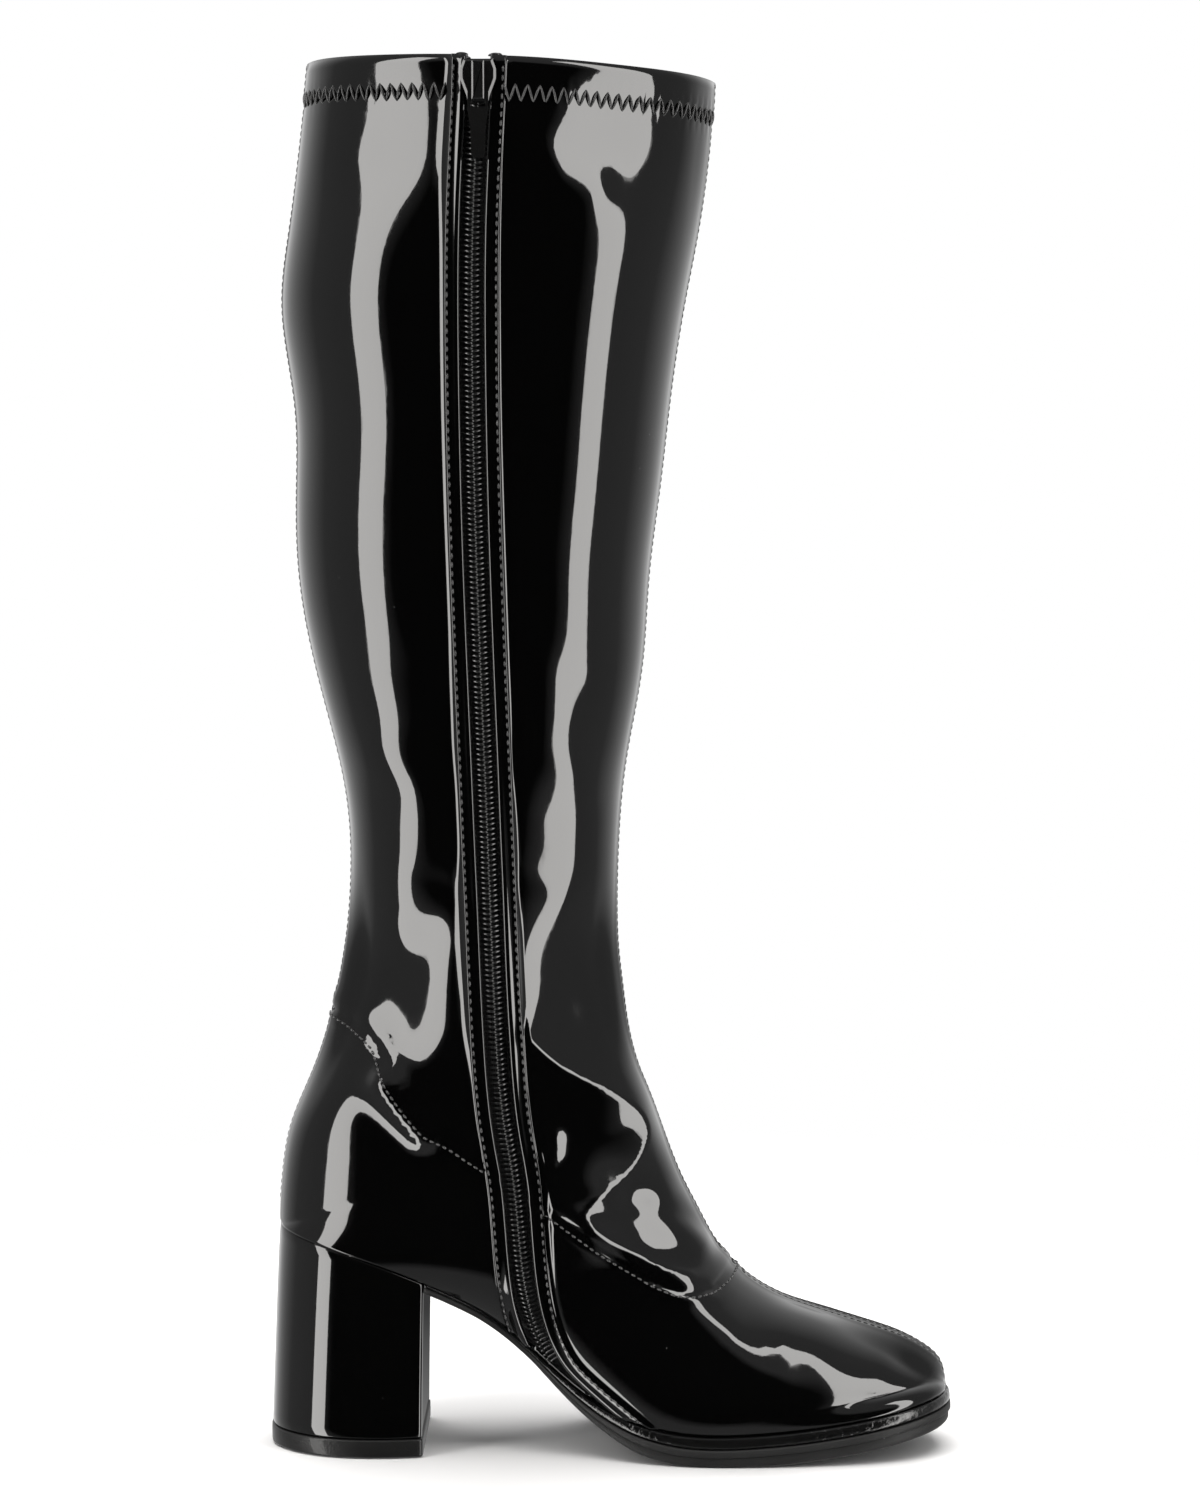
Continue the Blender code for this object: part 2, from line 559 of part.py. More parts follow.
def flat_plate(name, corners, thickness, bevel):
    """Plate from an outline in X and Z, its outer face at y 0, with rounded edges."""
    plate = bmesh.new()
    points = [plate.verts.new((x, 0, z)) for x, z in corners]
    face = plate.faces.new(points)
    moved = bmesh.ops.extrude_face_region(plate, geom=[face])
    bmesh.ops.translate(plate, verts=[g for g in moved["geom"] if isinstance(g, bmesh.types.BMVert)],
                        vec=(0, thickness, 0))
    bmesh.ops.bevel(plate, geom=plate.edges[:], offset=bevel, segments=2, affect="EDGES", profile=0.6)
    bmesh.ops.recalc_face_normals(plate, faces=plate.faces)
    mesh = bpy.data.meshes.new(name)
    plate.to_mesh(mesh)
    plate.free()
    return mesh


def box(name, size, centre, bevel):
    work = bmesh.new()
    bmesh.ops.create_cube(work, size=1)
    bmesh.ops.scale(work, vec=size, verts=work.verts)
    bmesh.ops.bevel(work, geom=work.edges[:], offset=bevel, segments=1, affect="EDGES")
    bmesh.ops.translate(work, vec=centre, verts=work.verts)
    mesh = bpy.data.meshes.new(name)
    work.to_mesh(mesh)
    work.free()
    return mesh


def join_to(base, cutter_mesh, operation):
    """Boolean between a part and a helper mesh, which goes to the helpers' collection."""
    helper = bpy.data.objects.new("helper_" + cutter_mesh.name, cutter_mesh)
    bpy.data.collections["helpers"].objects.link(helper)
    helper.hide_render = True
    helper.display_type = "WIRE"
    helper.location = base.location
    modifier = base.modifiers.new(operation.title(), "BOOLEAN")
    modifier.operation = operation
    modifier.object = helper
    return helper


def mirrored(outline, width, top, length):
    """Closed outline in X and Z from the table of one side."""
    right = [(side.across * width / 2, top - side.down * length) for side in outline]
    return right + [(-x, z) for x, z in reversed(right)]


def zip_slider(material):
    """Upper plate of the slider with the bridge that the pull hangs on: a bar over the plate, on two legs."""
    outline = mirrored(SLIDER_OUTLINE, SLIDER_WIDTH, SLIDER_LENGTH / 2, SLIDER_LENGTH)
    part = add_object("zip_slider", flat_plate("zip_slider", outline, SLIDER_PLATE, SLIDER_ROUND), material)
    part.location = slider_place()
    bar = -BRIDGE_ROOM - BRIDGE_BAR / 2
    plate = SLIDER_PLATE / 2
    join_to(part, box("bridge_bar", (BRIDGE_WIDTH, BRIDGE_BAR, BRIDGE_LENGTH), (0, bar, 0), BRIDGE_ROUND), "UNION")
    leg = (BRIDGE_WIDTH - 2 * LEG_INSET, plate - bar, BRIDGE_LEG - LEG_INSET)
    reach = (BRIDGE_LENGTH - BRIDGE_LEG) / 2
    for name, z in (("bridge_leg_top", reach), ("bridge_leg_bottom", -reach)):
        join_to(part, box(name, leg, (0, (bar + plate) / 2, z), LEG_INSET), "UNION")
    return part


def pin_place():
    """Axis of the pull: just over the plate and just over the bridge's lower leg."""
    x, y, z = slider_place()
    return x, y - GAP - PIN_RADIUS, z - BRIDGE_LENGTH / 2 + BRIDGE_LEG + GAP + PIN_RADIUS


def zip_pull(material):
    """Tab with a square eye. The bar over the eye is the pin, which lies between the plate and the bridge."""
    outline = mirrored(PULL_OUTLINE, PULL_WIDTH, PIN_RADIUS, PIN_RADIUS + PULL_LENGTH)
    mesh = flat_plate("zip_pull", outline, PULL_THICKNESS, PULL_ROUND)
    mesh.transform(Matrix.Translation((0, -PULL_THICKNESS / 2, 0)))
    part = add_object("zip_pull", mesh, material)
    part.location = pin_place()
    size = (BRIDGE_WIDTH + 2 * EYE_ROOM, 3 * PULL_THICKNESS, PULL_EYE - PIN_RADIUS)
    join_to(part, box("pull_eye", size, (0, 0, -(PULL_EYE + PIN_RADIUS) / 2), BRIDGE_ROUND), "DIFFERENCE")
    return part


def main():
    for old in list(bpy.data.objects):
        bpy.data.objects.remove(old, do_unlink=True)
    for name in ("go_go_boot", "helpers"):
        collection = bpy.data.collections.new(name)
        bpy.context.scene.collection.children.link(collection)
    patent = finish("black_patent", (0.006, 0.006, 0.007), 0.06)
    gloss_strip = finish("gloss_strip", (0.008, 0.008, 0.009), 0.12)
    sole_rubber = finish("sole_rubber", (0.030, 0.030, 0.032), 0.55)
    tip_rubber = finish("tip_rubber", (0.045, 0.045, 0.047), 0.60)
    lining = finish("insole_lining", (0.030, 0.030, 0.031), 0.65)
    tape = finish("zip_tape_weave", (0.010, 0.010, 0.011), 0.75)
    coil = finish("zip_coil_nylon", (0.012, 0.012, 0.013), 0.30)
    black_metal = finish("black_metal", (0.020, 0.020, 0.021), 0.25, 0.9)
    upper(patent)
    insole(lining)
    sole_layers(gloss_strip, sole_rubber)
    heel(patent)
    heel_tip(tip_rubber)
    tape_floor = INSOLE_THICKNESS + 4 * GAP
    zip_strip("zip_tape", TAPE_WIDTH, 5, WALL + GAP, TAPE_THICKNESS, tape_floor, TAPE_END, tape)
    zip_strip("zip_coil", COIL_WIDTH, 3, COIL_DEPTH, COIL_THICKNESS, GAP, COIL_END, coil)
    zip_slider(black_metal)
    zip_pull(black_metal)


main()
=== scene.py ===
# %% [markdown]
# # A go go boot in black patent
# The boot stands on its block heel, seen from the side with the zip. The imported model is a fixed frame:
# it says where the upper, sole, heel and zip are. Each finer piece below is worked out from the same
# measures, so it lands on its place without fitting.

# %% Load the frame
import math
from collections import namedtuple

import bmesh
import bpy
import mathutils
import numpy as np
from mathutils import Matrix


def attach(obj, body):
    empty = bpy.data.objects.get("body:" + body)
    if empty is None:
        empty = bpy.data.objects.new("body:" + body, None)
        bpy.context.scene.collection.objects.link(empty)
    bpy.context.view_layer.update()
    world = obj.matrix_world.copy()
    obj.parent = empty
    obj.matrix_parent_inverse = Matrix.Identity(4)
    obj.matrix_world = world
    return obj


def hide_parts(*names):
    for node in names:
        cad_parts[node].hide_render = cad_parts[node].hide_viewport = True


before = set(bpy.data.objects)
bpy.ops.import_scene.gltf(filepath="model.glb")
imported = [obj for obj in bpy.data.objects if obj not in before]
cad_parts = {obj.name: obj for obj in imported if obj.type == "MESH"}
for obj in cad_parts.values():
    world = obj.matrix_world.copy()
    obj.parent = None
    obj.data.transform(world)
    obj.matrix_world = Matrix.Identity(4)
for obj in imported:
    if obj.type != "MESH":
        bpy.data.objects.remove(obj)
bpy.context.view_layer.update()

print("pieces in the frame:", sorted(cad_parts))

# %% [markdown]
# ## Finishes as sums
# A material in Blender is a small circuit of nodes. Wiring them by hand hides the idea, so one class
# wraps a socket and lets Python's own + - * / add the Math nodes. A finish is then a few lines that read
# like a recipe.


# %% A field: something that varies over a surface
class Field:
    """A number that varies over a surface; each operator adds one Math node that works it out."""

    def __init__(self, finish, socket):
        self.finish = finish
        self.socket = socket

    def math(self, operation, first, second=0.0):
        """One Math node with these two inputs."""
        return self.finish.node("Math", {"operation": operation}, {0: first, 1: second})

    def __add__(self, other):
        return self.math("ADD", self, other)

    def __sub__(self, other):
        return self.math("SUBTRACT", self, other)

    def __rsub__(self, other):
        return self.math("SUBTRACT", other, self)

    def __mul__(self, other):
        return self.math("MULTIPLY", self, other)

    def __truediv__(self, other):
        return self.math("DIVIDE", self, other)

    def __pow__(self, other):
        return self.math("POWER", self, other)

    __radd__ = __add__
    __rmul__ = __mul__

    def wave(self):
        """Its sine."""
        return self.math("SINE", self)

    def between(self, low, high):
        """0 below low, 1 above high and an S-shaped ramp from one to the other."""
        return self.finish.node("MapRange", {"interpolation_type": "SMOOTHSTEP"},
                                {"Value": self, "From Min": low, "From Max": high})


# %% A finish: one material and the nodes in it
class Finish:
    """One material. fixed holds the values that are the same all over; paint() feeds one that varies."""

    def __init__(self, name, fixed):
        self.material = bpy.data.materials.new(name)
        self.material.use_nodes = True
        self.tree = self.material.node_tree
        self.shader = self.tree.nodes["Principled BSDF"]
        for socket, value in fixed.items():
            self.shader.inputs[socket].default_value = value

    def node(self, kind, settings=None, inputs=None, out=0):
        """Add a shader node with its settings and inputs; its output number out comes back as a Field."""
        made = self.tree.nodes.new("ShaderNode" + kind)
        for key, value in (settings or {}).items():
            setattr(made, key, value)
        for key, value in (inputs or {}).items():
            self.feed(made.inputs[key], value)
        return Field(self, made.outputs[out])

    def feed(self, socket, value):
        """Link a Field to a socket, or set the socket to a plain value."""
        if isinstance(value, Field):
            self.tree.links.new(value.socket, socket)
        else:
            socket.default_value = value

    def place(self, scale=(1, 1, 1)):
        """Object coordinates in metres, stretched by scale."""
        return self.node("Mapping", {}, {"Vector": self.node("TexCoord", out=3), "Scale": scale})

    def noise(self, scale, detail=2.0, where=None):
        """Cloudy noise round 0.5; scale is how many clouds fit in a metre."""
        inputs = {"Vector": where or self.place(), "Scale": scale, "Detail": detail}
        return self.node("TexNoise", {}, inputs)

    def dots(self, scale, radius, amount, where=None):
        """Round specks: 1 within radius of the middle of some cells, radius and amount as shares."""
        cells = {"Vector": where or self.place(), "Scale": scale}
        middle = self.node("TexVoronoi", {}, cells)
        chance = self.node("TexWhiteNoise", {}, {"Vector": self.node("TexVoronoi", {}, cells, out=2)})
        return (1 - middle.between(radius * 0.6, radius)) * chance.between(1 - amount, 1.001 - amount)

    def mix(self, amount, first, second):
        """Colour between first and second."""
        return self.node("Mix", {"data_type": "RGBA"}, {0: amount, 6: first, 7: second}, out=2)

    def paint(self, socket, value):
        """Feed one input of the material's shader."""
        self.feed(self.shader.inputs[socket], value)

    def relief(self, height, distance):
        """Bumps on the surface: height runs from 0 to about 1, distance is what 1 is worth in metres."""
        self.paint("Normal", self.node("Bump", {}, {"Height": height, "Distance": distance}))


# %% [markdown]
# ## The finishes of a patent boot
# Patent is cloth or split leather under a thick clear film. The film gives sharp mirror lights, and the
# cloth under it pulls them a little out of line. So the base is almost black, a full clear coat lies over
# it, and the relief is tiny: slow waves a few centimetres long, ripples of a centimetre and a fine orange
# peel.


# %% Patent
def grey(value):
    """Neutral colour of one brightness."""
    return (value, value, value, 1)


def make_patent(name, slow, peel):
    """Clear-coated patent: slow is the height of its long waves, peel that of its orange peel."""
    finish = Finish(name, {"Base Color": grey(0.0016), "Roughness": 0.05, "IOR": 1.45, "Coat Weight": 1.0,
                           "Coat Roughness": 0.008, "Coat IOR": 1.55})
    waves = finish.noise(24, 1.0) * slow + finish.noise(95, 2.0) * 0.12 * slow
    waves += finish.noise(300, 1.0) * 0.006
    finish.relief(waves + finish.noise(800, 1.0) * peel, 0.001)
    dust = finish.dots(240, 0.045, 0.16) * finish.noise(18).between(0.56, 0.66)
    finish.paint("Base Color", finish.mix(dust, grey(0.0016), grey(0.30)))
    finish.paint("Roughness", 0.04 + finish.noise(40, 3.0) * 0.03 + dust * 0.5)
    finish.paint("Coat Weight", 1 - dust * 0.85)
    return finish.material


patent = make_patent("black_patent", 0.42, 0.0022)
heel_patent = make_patent("heel_patent", 0.16, 0.0020)


# %% Lining, sock and tape: cloth
def make_cloth(name, colour, threads, depth):
    """Plain weave: two sine waves at right angles, one over the other in turn."""
    finish = Finish(name, {"Base Color": colour, "Roughness": 0.85, "Sheen Weight": 0.25})
    split = finish.node("SeparateXYZ", {}, {"Vector": finish.place()})
    down = Field(finish, split.socket.node.outputs[2])
    around = split + Field(finish, split.socket.node.outputs[1])
    turn = 2 * math.pi * threads
    weave = ((down * turn).wave() + (around * turn).wave()) * 0.25 + 0.5
    worn = finish.noise(60, 3.0)
    shades = grey(colour[0] * 0.5), grey(colour[0] * 1.7)
    finish.paint("Base Color", finish.mix(weave * 0.6 + worn * 0.4, *shades))
    finish.paint("Roughness", 0.75 + worn * 0.2)
    finish.relief(weave + worn * 0.3, depth)
    return finish.material


lining = make_cloth("lining_cloth", grey(0.020), 900, 0.0002)
sock = make_cloth("insole_sock", grey(0.028), 600, 0.00025)
tape_weave = make_cloth("zip_tape_weave", grey(0.012), 1100, 0.00015)


# %% Rubber, coil, thread and enamelled metal
def make_solid(name, colour, roughness, coat, scale, depth, speck):
    """Moulded or painted surface: one colour that clouds a little, with fine grain in relief and gloss."""
    finish = Finish(name, {"Base Color": colour, "Roughness": roughness, "Coat Weight": coat,
                           "Coat Roughness": 0.08})
    cloud = finish.noise(70, 4.0)
    grain = finish.noise(scale, 3.0)
    # Light grey specks: on most finishes these are scuffs, and on the rand they are painted highlights,
    # glints of light.
    scuff_and_glint = finish.dots(scale / 3, 0.12, speck)
    shade = finish.mix(cloud, grey(colour[0] * 0.75), grey(colour[0] * 1.3))
    finish.paint("Base Color", finish.mix(scuff_and_glint, shade, grey(0.22)))
    finish.paint("Roughness", roughness * 0.8 + grain * roughness * 0.4 + scuff_and_glint * 0.2)
    finish.relief(grain, depth)
    return finish.material


# The rand's many light grey specks are painted highlights: they stand in for glints of light on its uneven
# edge, besides a few scuffs.
rand_gloss = make_solid("rand_gloss", grey(0.006), 0.12, 0.9, 420, 0.0006, 0.05)
sole_rubber = make_solid("sole_rubber", grey(0.022), 0.50, 0.0, 1500, 0.00010, 0.03)
tip_rubber = make_solid("tip_rubber", grey(0.012), 0.40, 0.3, 1800, 0.00012, 0.04)
coil_nylon = make_solid("coil_nylon", grey(0.010), 0.16, 0.9, 2500, 0.00001, 0.0)
thread = make_solid("black_thread", grey(0.045), 0.15, 1.0, 4000, 0.00002, 0.0)
enamel = make_solid("black_enamel", grey(0.008), 0.14, 0.7, 900, 0.00002, 0.01)
print("finishes:", len(bpy.data.materials))

# %% [markdown]
# ## The last
# A boot is pulled over a last, a solid foot and leg. Here the last is a table of slanted sections. Each
# runs from a point of the back line to one of the front line, and a soft curve through the table gives
# any section between.

# %% Sizes of the last
FOOT_LENGTH, HEEL_REACH, BALL_WIDTH, INSTEP_DEPTH = 0.2273, 0.0226, 0.084, 0.060
HEEL_HEIGHT, SOLE_EDGE, BOOT_HEIGHT, SHAFT_WIDTH = 0.0757, 0.0097, 0.4657, 0.098
WALL = 0.0018
HEEL_RISE = HEEL_HEIGHT - SOLE_EDGE
SHAFT_RISE = BOOT_HEIGHT - HEEL_HEIGHT - INSTEP_DEPTH
Section = namedtuple("Section", "x lift instep shaft "
                                "front_x front_lift front_instep front_shaft seat side leg swing")


def shaft_section(x, shaft, front_x, front_shaft, leg, side=0.0):
    """Section above the instep: its ends have all of the heel's and the instep's rise, and some shaft."""
    return Section(x, 1, 1, shaft, front_x, 1, 1, front_shaft, 0, side, leg, 0)


def foot_section(x, lift, front_x, front_lift, front_instep, seat, side, swing=0.0):
    """Section of the foot: its back point lies on the lower edge, and neither end has shaft height."""
    return Section(x, lift, 0, 0, front_x, front_lift, front_instep, 0, seat, side, 0, swing)


# %% The table of sections, from the collar to the toe
LAST = [shaft_section(*row) for row in (
    (0.052, 1.000, 0.647, 0.982, 0.490),
    (0.040, 0.925, 0.641, 0.918, 0.497),
    (0.023, 0.835, 0.625, 0.837, 0.500),
    (0.012, 0.750, 0.603, 0.757, 0.492),
    (0.030, 0.655, 0.583, 0.665, 0.472),
    (0.031, 0.560, 0.568, 0.575, 0.452),
    (0.038, 0.465, 0.552, 0.485, 0.430),
    (0.068, 0.365, 0.542, 0.393, 0.402),
    (0.101, 0.270, 0.520, 0.305, 0.372),
    (0.109, 0.180, 0.508, 0.228, 0.350),
    (0.095, 0.090, 0.505, 0.160, 0.285, 0.050))]
LAST += [
    Section(0.062, 1, 0.93, 0.010, 0.507, 1, 1, 0.106, 0, 0.200, 0.155, 0),
    Section(0.024, 1, 0.63, 0, 0.514, 1, 1, 0.062, 0, 0.330, 0.045, 0),
    Section(0.006, 1, 0.34, 0, 0.522, 1, 1, 0.022, -0.17, 0.372, 0, 0),
]
LAST += [foot_section(*row) for row in (
    (0.000, 1.00, 0.535, 0.98, 0.94, 0.00, 0.374),
    (0.020, 0.98, 0.549, 0.92, 0.87, 0.17, 0.376),
    (0.078, 0.93, 0.566, 0.82, 0.81, 0.30, 0.380),
    (0.160, 0.84, 0.584, 0.69, 0.76, 0.345, 0.385),
    (0.240, 0.72, 0.604, 0.55, 0.73, 0.315, 0.390),
    (0.318, 0.565, 0.627, 0.41, 0.715, 0.265, 0.395),
    (0.385, 0.375, 0.650, 0.27, 0.705, 0.262, 0.410),
    (0.455, 0.180, 0.677, 0.16, 0.695, 0.320, 0.440),
    (0.535, 0.055, 0.712, 0.07, 0.680, 0.405, 0.477),
    (0.625, 0.010, 0.760, 0.03, 0.625, 0.460, 0.500),
    (0.720, 0.020, 0.822, 0.03, 0.545, 0.462, 0.488, -0.005),
    (0.810, 0.050, 0.885, 0.05, 0.452, 0.425, 0.444, -0.015),
    (0.890, 0.090, 0.938, 0.09, 0.345, 0.360, 0.374, -0.035),
    (0.950, 0.125, 0.973, 0.12, 0.240, 0.265, 0.276, -0.050),
    (0.987, 0.145, 0.993, 0.14, 0.130, 0.145, 0.152, -0.058),
    (1.000, 0.150, 1.000, 0.15, 0.000, 0.000, 0.000, -0.060))]
HEEL_SEAT, TOE = 14, len(LAST) - 1
# Place along the foot, fullness of its inside and of its outside.
BIAS = [(0, 1, 1), (0.35, 0.93, 1.07), (0.55, 0.96, 1.04), (0.70, 0.95, 1.05), (1, 1, 1)]


# %% The curve through the table
def spline(rows, at):
    """Natural cubic curve through evenly spaced rows: its second slopes solve one linear system."""
    rows = np.asarray(rows, float)
    count = len(rows)
    system = np.eye(count)
    target = np.zeros_like(rows)
    inner = np.arange(1, count - 1)
    for step, weight in ((-1, 1), (0, 4), (1, 1)):
        system[inner, inner + step] = weight
    target[1:-1] = 6 * (rows[:-2] - 2 * rows[1:-1] + rows[2:])
    bend = np.linalg.solve(system, target)
    at = np.clip(np.asarray(at, float), 0, count - 1)
    low = np.minimum(at.astype(int), count - 2)
    t = (at - low)[..., None]
    s = 1 - t
    return (s * rows[low] + t * rows[low + 1]
            + ((s ** 3 - s) * bend[low] + (t ** 3 - t) * bend[low + 1]) / 6)


def unit(vectors):
    """The same directions at length 1."""
    return vectors / np.maximum(np.linalg.norm(vectors, axis=-1, keepdims=True), 1e-12)


def height(lift, instep, shaft):
    """Height from the shares of the heel's rise, the instep's and the shaft's."""
    return SOLE_EDGE + lift * HEEL_RISE + instep * INSTEP_DEPTH + shaft * SHAFT_RISE


# %% Sections and the surface of the upper
Cut = namedtuple("Cut", "back front half start swing inside outside")


def section(v):
    """Back and front point, half width, angle at the lower edge, swing and fullness of the sections v."""
    beyond_toe = LAST[-2]._replace(seat=-LAST[-2].seat, side=-LAST[-2].side)
    v = np.minimum(v, TOE)
    columns = np.moveaxis(spline(LAST + [beyond_toe], v), -1, 0)
    x, lift, instep, shaft, fx, fl, fi, fs, seat, side, leg, swing = columns
    foot = v > HEEL_SEAT
    back = np.stack([x * FOOT_LENGTH - HEEL_REACH, height(lift, instep * ~foot, shaft * ~foot)], -1)
    front = np.stack([fx * FOOT_LENGTH - HEEL_REACH, height(fl, fi, fs)], -1)
    half = np.maximum(side * BALL_WIDTH + leg * SHAFT_WIDTH, 0)
    seat = np.clip(seat * BALL_WIDTH, 0, half * 0.999) * foot
    start = np.arcsin(np.clip(seat / np.maximum(half, 1e-9), 0, 1))
    along, inside, outside = np.array(BIAS).T
    return Cut(back, front, half, start, swing * BALL_WIDTH,
               np.interp(x * foot, along, inside), np.interp(x * foot, along, outside))


def surface(v, share, side):
    """Point of the upper at share of the way from the lower edge or back seam to the front seam.

    The half width follows the sine of an angle that runs from start to 180 degrees, and the place along the
    section follows its cosine: an ellipse, cut off by the lower edge. side is -1 on the zip's side.
    """
    cut = section(v)
    turn = turn_at(cut.start, share)
    wide = cut.half * np.sin(turn) * np.where(side < 0, cut.inside, cut.outside)
    flat = cut.back + share[..., None] * (cut.front - cut.back)
    return np.stack([flat[..., 0], cut.swing + side * wide, flat[..., 1]], -1)


def turn_at(start, share):
    """Angle whose cosine lies at share of the way from the cosine of start down to -1."""
    return np.arccos(np.clip(np.cos(start) - share * (np.cos(start) + 1), -1, 1))


def share_of(start, turn):
    """The other way round: the share at which an angle lies."""
    return (np.cos(start) - np.cos(turn)) / (np.cos(start) + 1)


def surface_normal(v, share, side):
    """Outward normal, from the slopes down the boot and around it."""
    h = 0.01
    share = np.clip(share, h, 1 - h)
    down = surface(v + h, share, side) - surface(v - h, share, side)
    over = surface(v, share + h, side) - surface(v, share - h, side)
    return unit(np.cross(down, over) * -side[..., None])


# %% [markdown]
# ## The line of the zip
# The zip is straight cloth, so it doesn't follow the sections. It has a line of its own, seen from the
# side, and each section is crossed with that line. Lines beside it give the slot, the folded facings and
# their stitches.

# %% The zip's line across the sections
# Each point has its x and its shares of the heel's rise, the instep's and the shaft's.
ZIP_LINE = [(0.311, 1, 1, 1.060), (0.308, 1, 1, 0.960), (0.301, 1, 1, 0.860), (0.298, 1, 1, 0.740),
            (0.301, 1, 1, 0.560), (0.310, 1, 1, 0.360), (0.320, 1, 1, 0.170), (0.334, 1, 0.84, 0),
            (0.354, 0.86, 0.46, 0), (0.370, 0.60, 0.13, 0), (0.402, 0.355, 0, 0),
            (0.450, 0.165, 0, 0), (0.540, -0.08, 0, 0)]


def zip_line(across):
    """The zip's middle line seen from the side, moved sideways by across."""
    x, lift, instep, shaft = spline(ZIP_LINE, np.linspace(0, len(ZIP_LINE) - 1, 200)).T
    line = np.stack([x * FOOT_LENGTH - HEEL_REACH, height(lift, instep, shaft)], -1)
    step = unit(np.gradient(line, axis=0))
    return line + across * np.stack([-step[:, 1], step[:, 0]], -1)


def zip_crossing(v, across):
    """Length along each section from its back point to the zip's line, and the section's own length."""
    cut = section(v)
    line = zip_line(across)
    length = np.maximum(np.linalg.norm(cut.front - cut.back, axis=1), 1e-6)
    chord = (cut.front - cut.back) / length[:, None]
    offset = line[None] - cut.back[:, None]
    over = chord[:, None, 0] * offset[..., 1] - chord[:, None, 1] * offset[..., 0]
    along = (offset * chord[:, None]).sum(-1)
    crossed = [np.interp(0, o[::-1], a[::-1]) for o, a in zip(over, along)]
    return np.array(crossed), length


def zip_share(v, across, floor=0.0):
    """The crossing as a share of the section, held at floor above the lower edge."""
    crossed, length = zip_crossing(v, across)
    return np.clip(crossed / length, np.minimum(floor / length, 0.9), 0.9)


def run_off(across, floor=0.0):
    """Row number where the zip's line, moved by across, comes down to floor above the lower edge."""
    v = np.linspace(HEEL_SEAT, TOE - 1, 600)
    crossed, length = zip_crossing(v, across)
    return v[np.argmax(crossed <= floor)]


print("zip runs off the lower edge at section", round(float(run_off(0.0)), 2))


# %% [markdown]
# ## From points to pieces
# A grid of points with rows and columns needs no list of faces by hand: the corners of quad (r, c) are
# counted from r and c. Points that fall together, as at a toe or a seam, are welded, so that no seam
# stays open.

# %% Faces of a grid, and a new piece
def grid_faces(rows, columns, closed=False, skip=()):
    """Corner numbers of all quads of a grid, row times columns plus column, less the columns in skip."""
    c = np.array([k for k in range(columns if closed else columns - 1) if k not in skip])[None, :]
    r = np.arange(rows - 1)[:, None] * columns
    d = (c + 1) % columns
    return np.stack([r + c, r + d, r + columns + d, r + columns + c], -1).reshape(-1, 4)


def new_piece(name, points, faces, materials, replaces=(), weld=True):
    """Mesh object from points and faces that rides on the boot; welded, its faces also turn outwards."""
    mesh = bpy.data.meshes.new(name)
    mesh.from_pydata(np.reshape(points, (-1, 3)).tolist(), [], [list(face) for face in faces])
    if weld:
        work = bmesh.new()
        work.from_mesh(mesh)
        bmesh.ops.remove_doubles(work, verts=work.verts, dist=2e-5)
        bmesh.ops.dissolve_degenerate(work, edges=work.edges, dist=1e-6)
        bmesh.ops.delete(work, geom=[edge for edge in work.edges if edge.is_wire], context="EDGES")
        bmesh.ops.recalc_face_normals(work, faces=work.faces)
        work.to_mesh(mesh)
        work.free()
    mesh.shade_smooth()
    for material in materials:
        mesh.materials.append(material)
    piece = bpy.data.objects.new(name, mesh)
    bpy.context.scene.collection.objects.link(piece)
    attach(piece, "boot")
    if replaces:
        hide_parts(*replaces)
    print(name, len(mesh.polygons), "faces")
    return piece


def loft(rings):
    """Faces of a closed body through rings of points, with a flat cap at each end."""
    count, columns = rings.shape[:2]
    caps = [list(range(columns)), list(range((count - 1) * columns, count * columns))]
    return grid_faces(count, columns, True).tolist() + caps


# %% [markdown]
# ## The upper
# Shaft and vamp are one skin here, on a grid fine enough for soft creases: about 2 mm a step. Its columns
# gather at the zip, where the patent is folded back on both sides. Wrinkles are listed one by one, because
# a
# boot creases where it bends: at the ankle, over the instep and beside the stiff zip. Each is a soft
# trough or ridge along a short line.

# %% Rows and columns of the skin
ROWS, BACK_COLUMNS, FRONT_COLUMNS, OUTER_COLUMNS = 262, 36, 60, 54
SLOT, FACING, STITCH_LINE = 0.0036, 0.00875, 0.0079
BACK_EDGES = [-0.0092, -FACING, -0.0083, -STITCH_LINE, -0.0074, -0.0066, -0.0056, -0.0050, -0.0044,
              -0.0039, -SLOT]
FACING_RISE = [0.0, 0.0005, 0.0008, 0.0007, 0.0007, 0.00075, 0.0011, 0.00125, 0.0011, 0.0006, -0.0001]


def even_rows(count, first=0.0, last=TOE, closer=1.0):
    """Row numbers that lie evenly on the boot: the travel of back and front line is summed and shared out.

    closer counts the travel that many times over at the ankle and the instep, where folds need more rows.
    """
    v = np.linspace(first, last, 3000)
    cut = section(v)
    travel = [np.linalg.norm(np.diff(line, axis=0), axis=1) for line in (cut.back, cut.front)]
    weight = np.where((v[1:] > 8.5) & (v[1:] < 21), closer, 1.0)
    total = np.concatenate([[0], np.cumsum((travel[0] + travel[1]) * weight)])
    return np.interp(np.linspace(0, total[-1], count), total, v)


def with_rows(even, wanted):
    """Even row numbers, less those close to a wanted one, and the wanted ones."""
    clear = np.abs(even[:, None] - np.array(wanted)[None, :]).min(1) > 0.03
    return np.sort(np.concatenate([even[clear], wanted]))


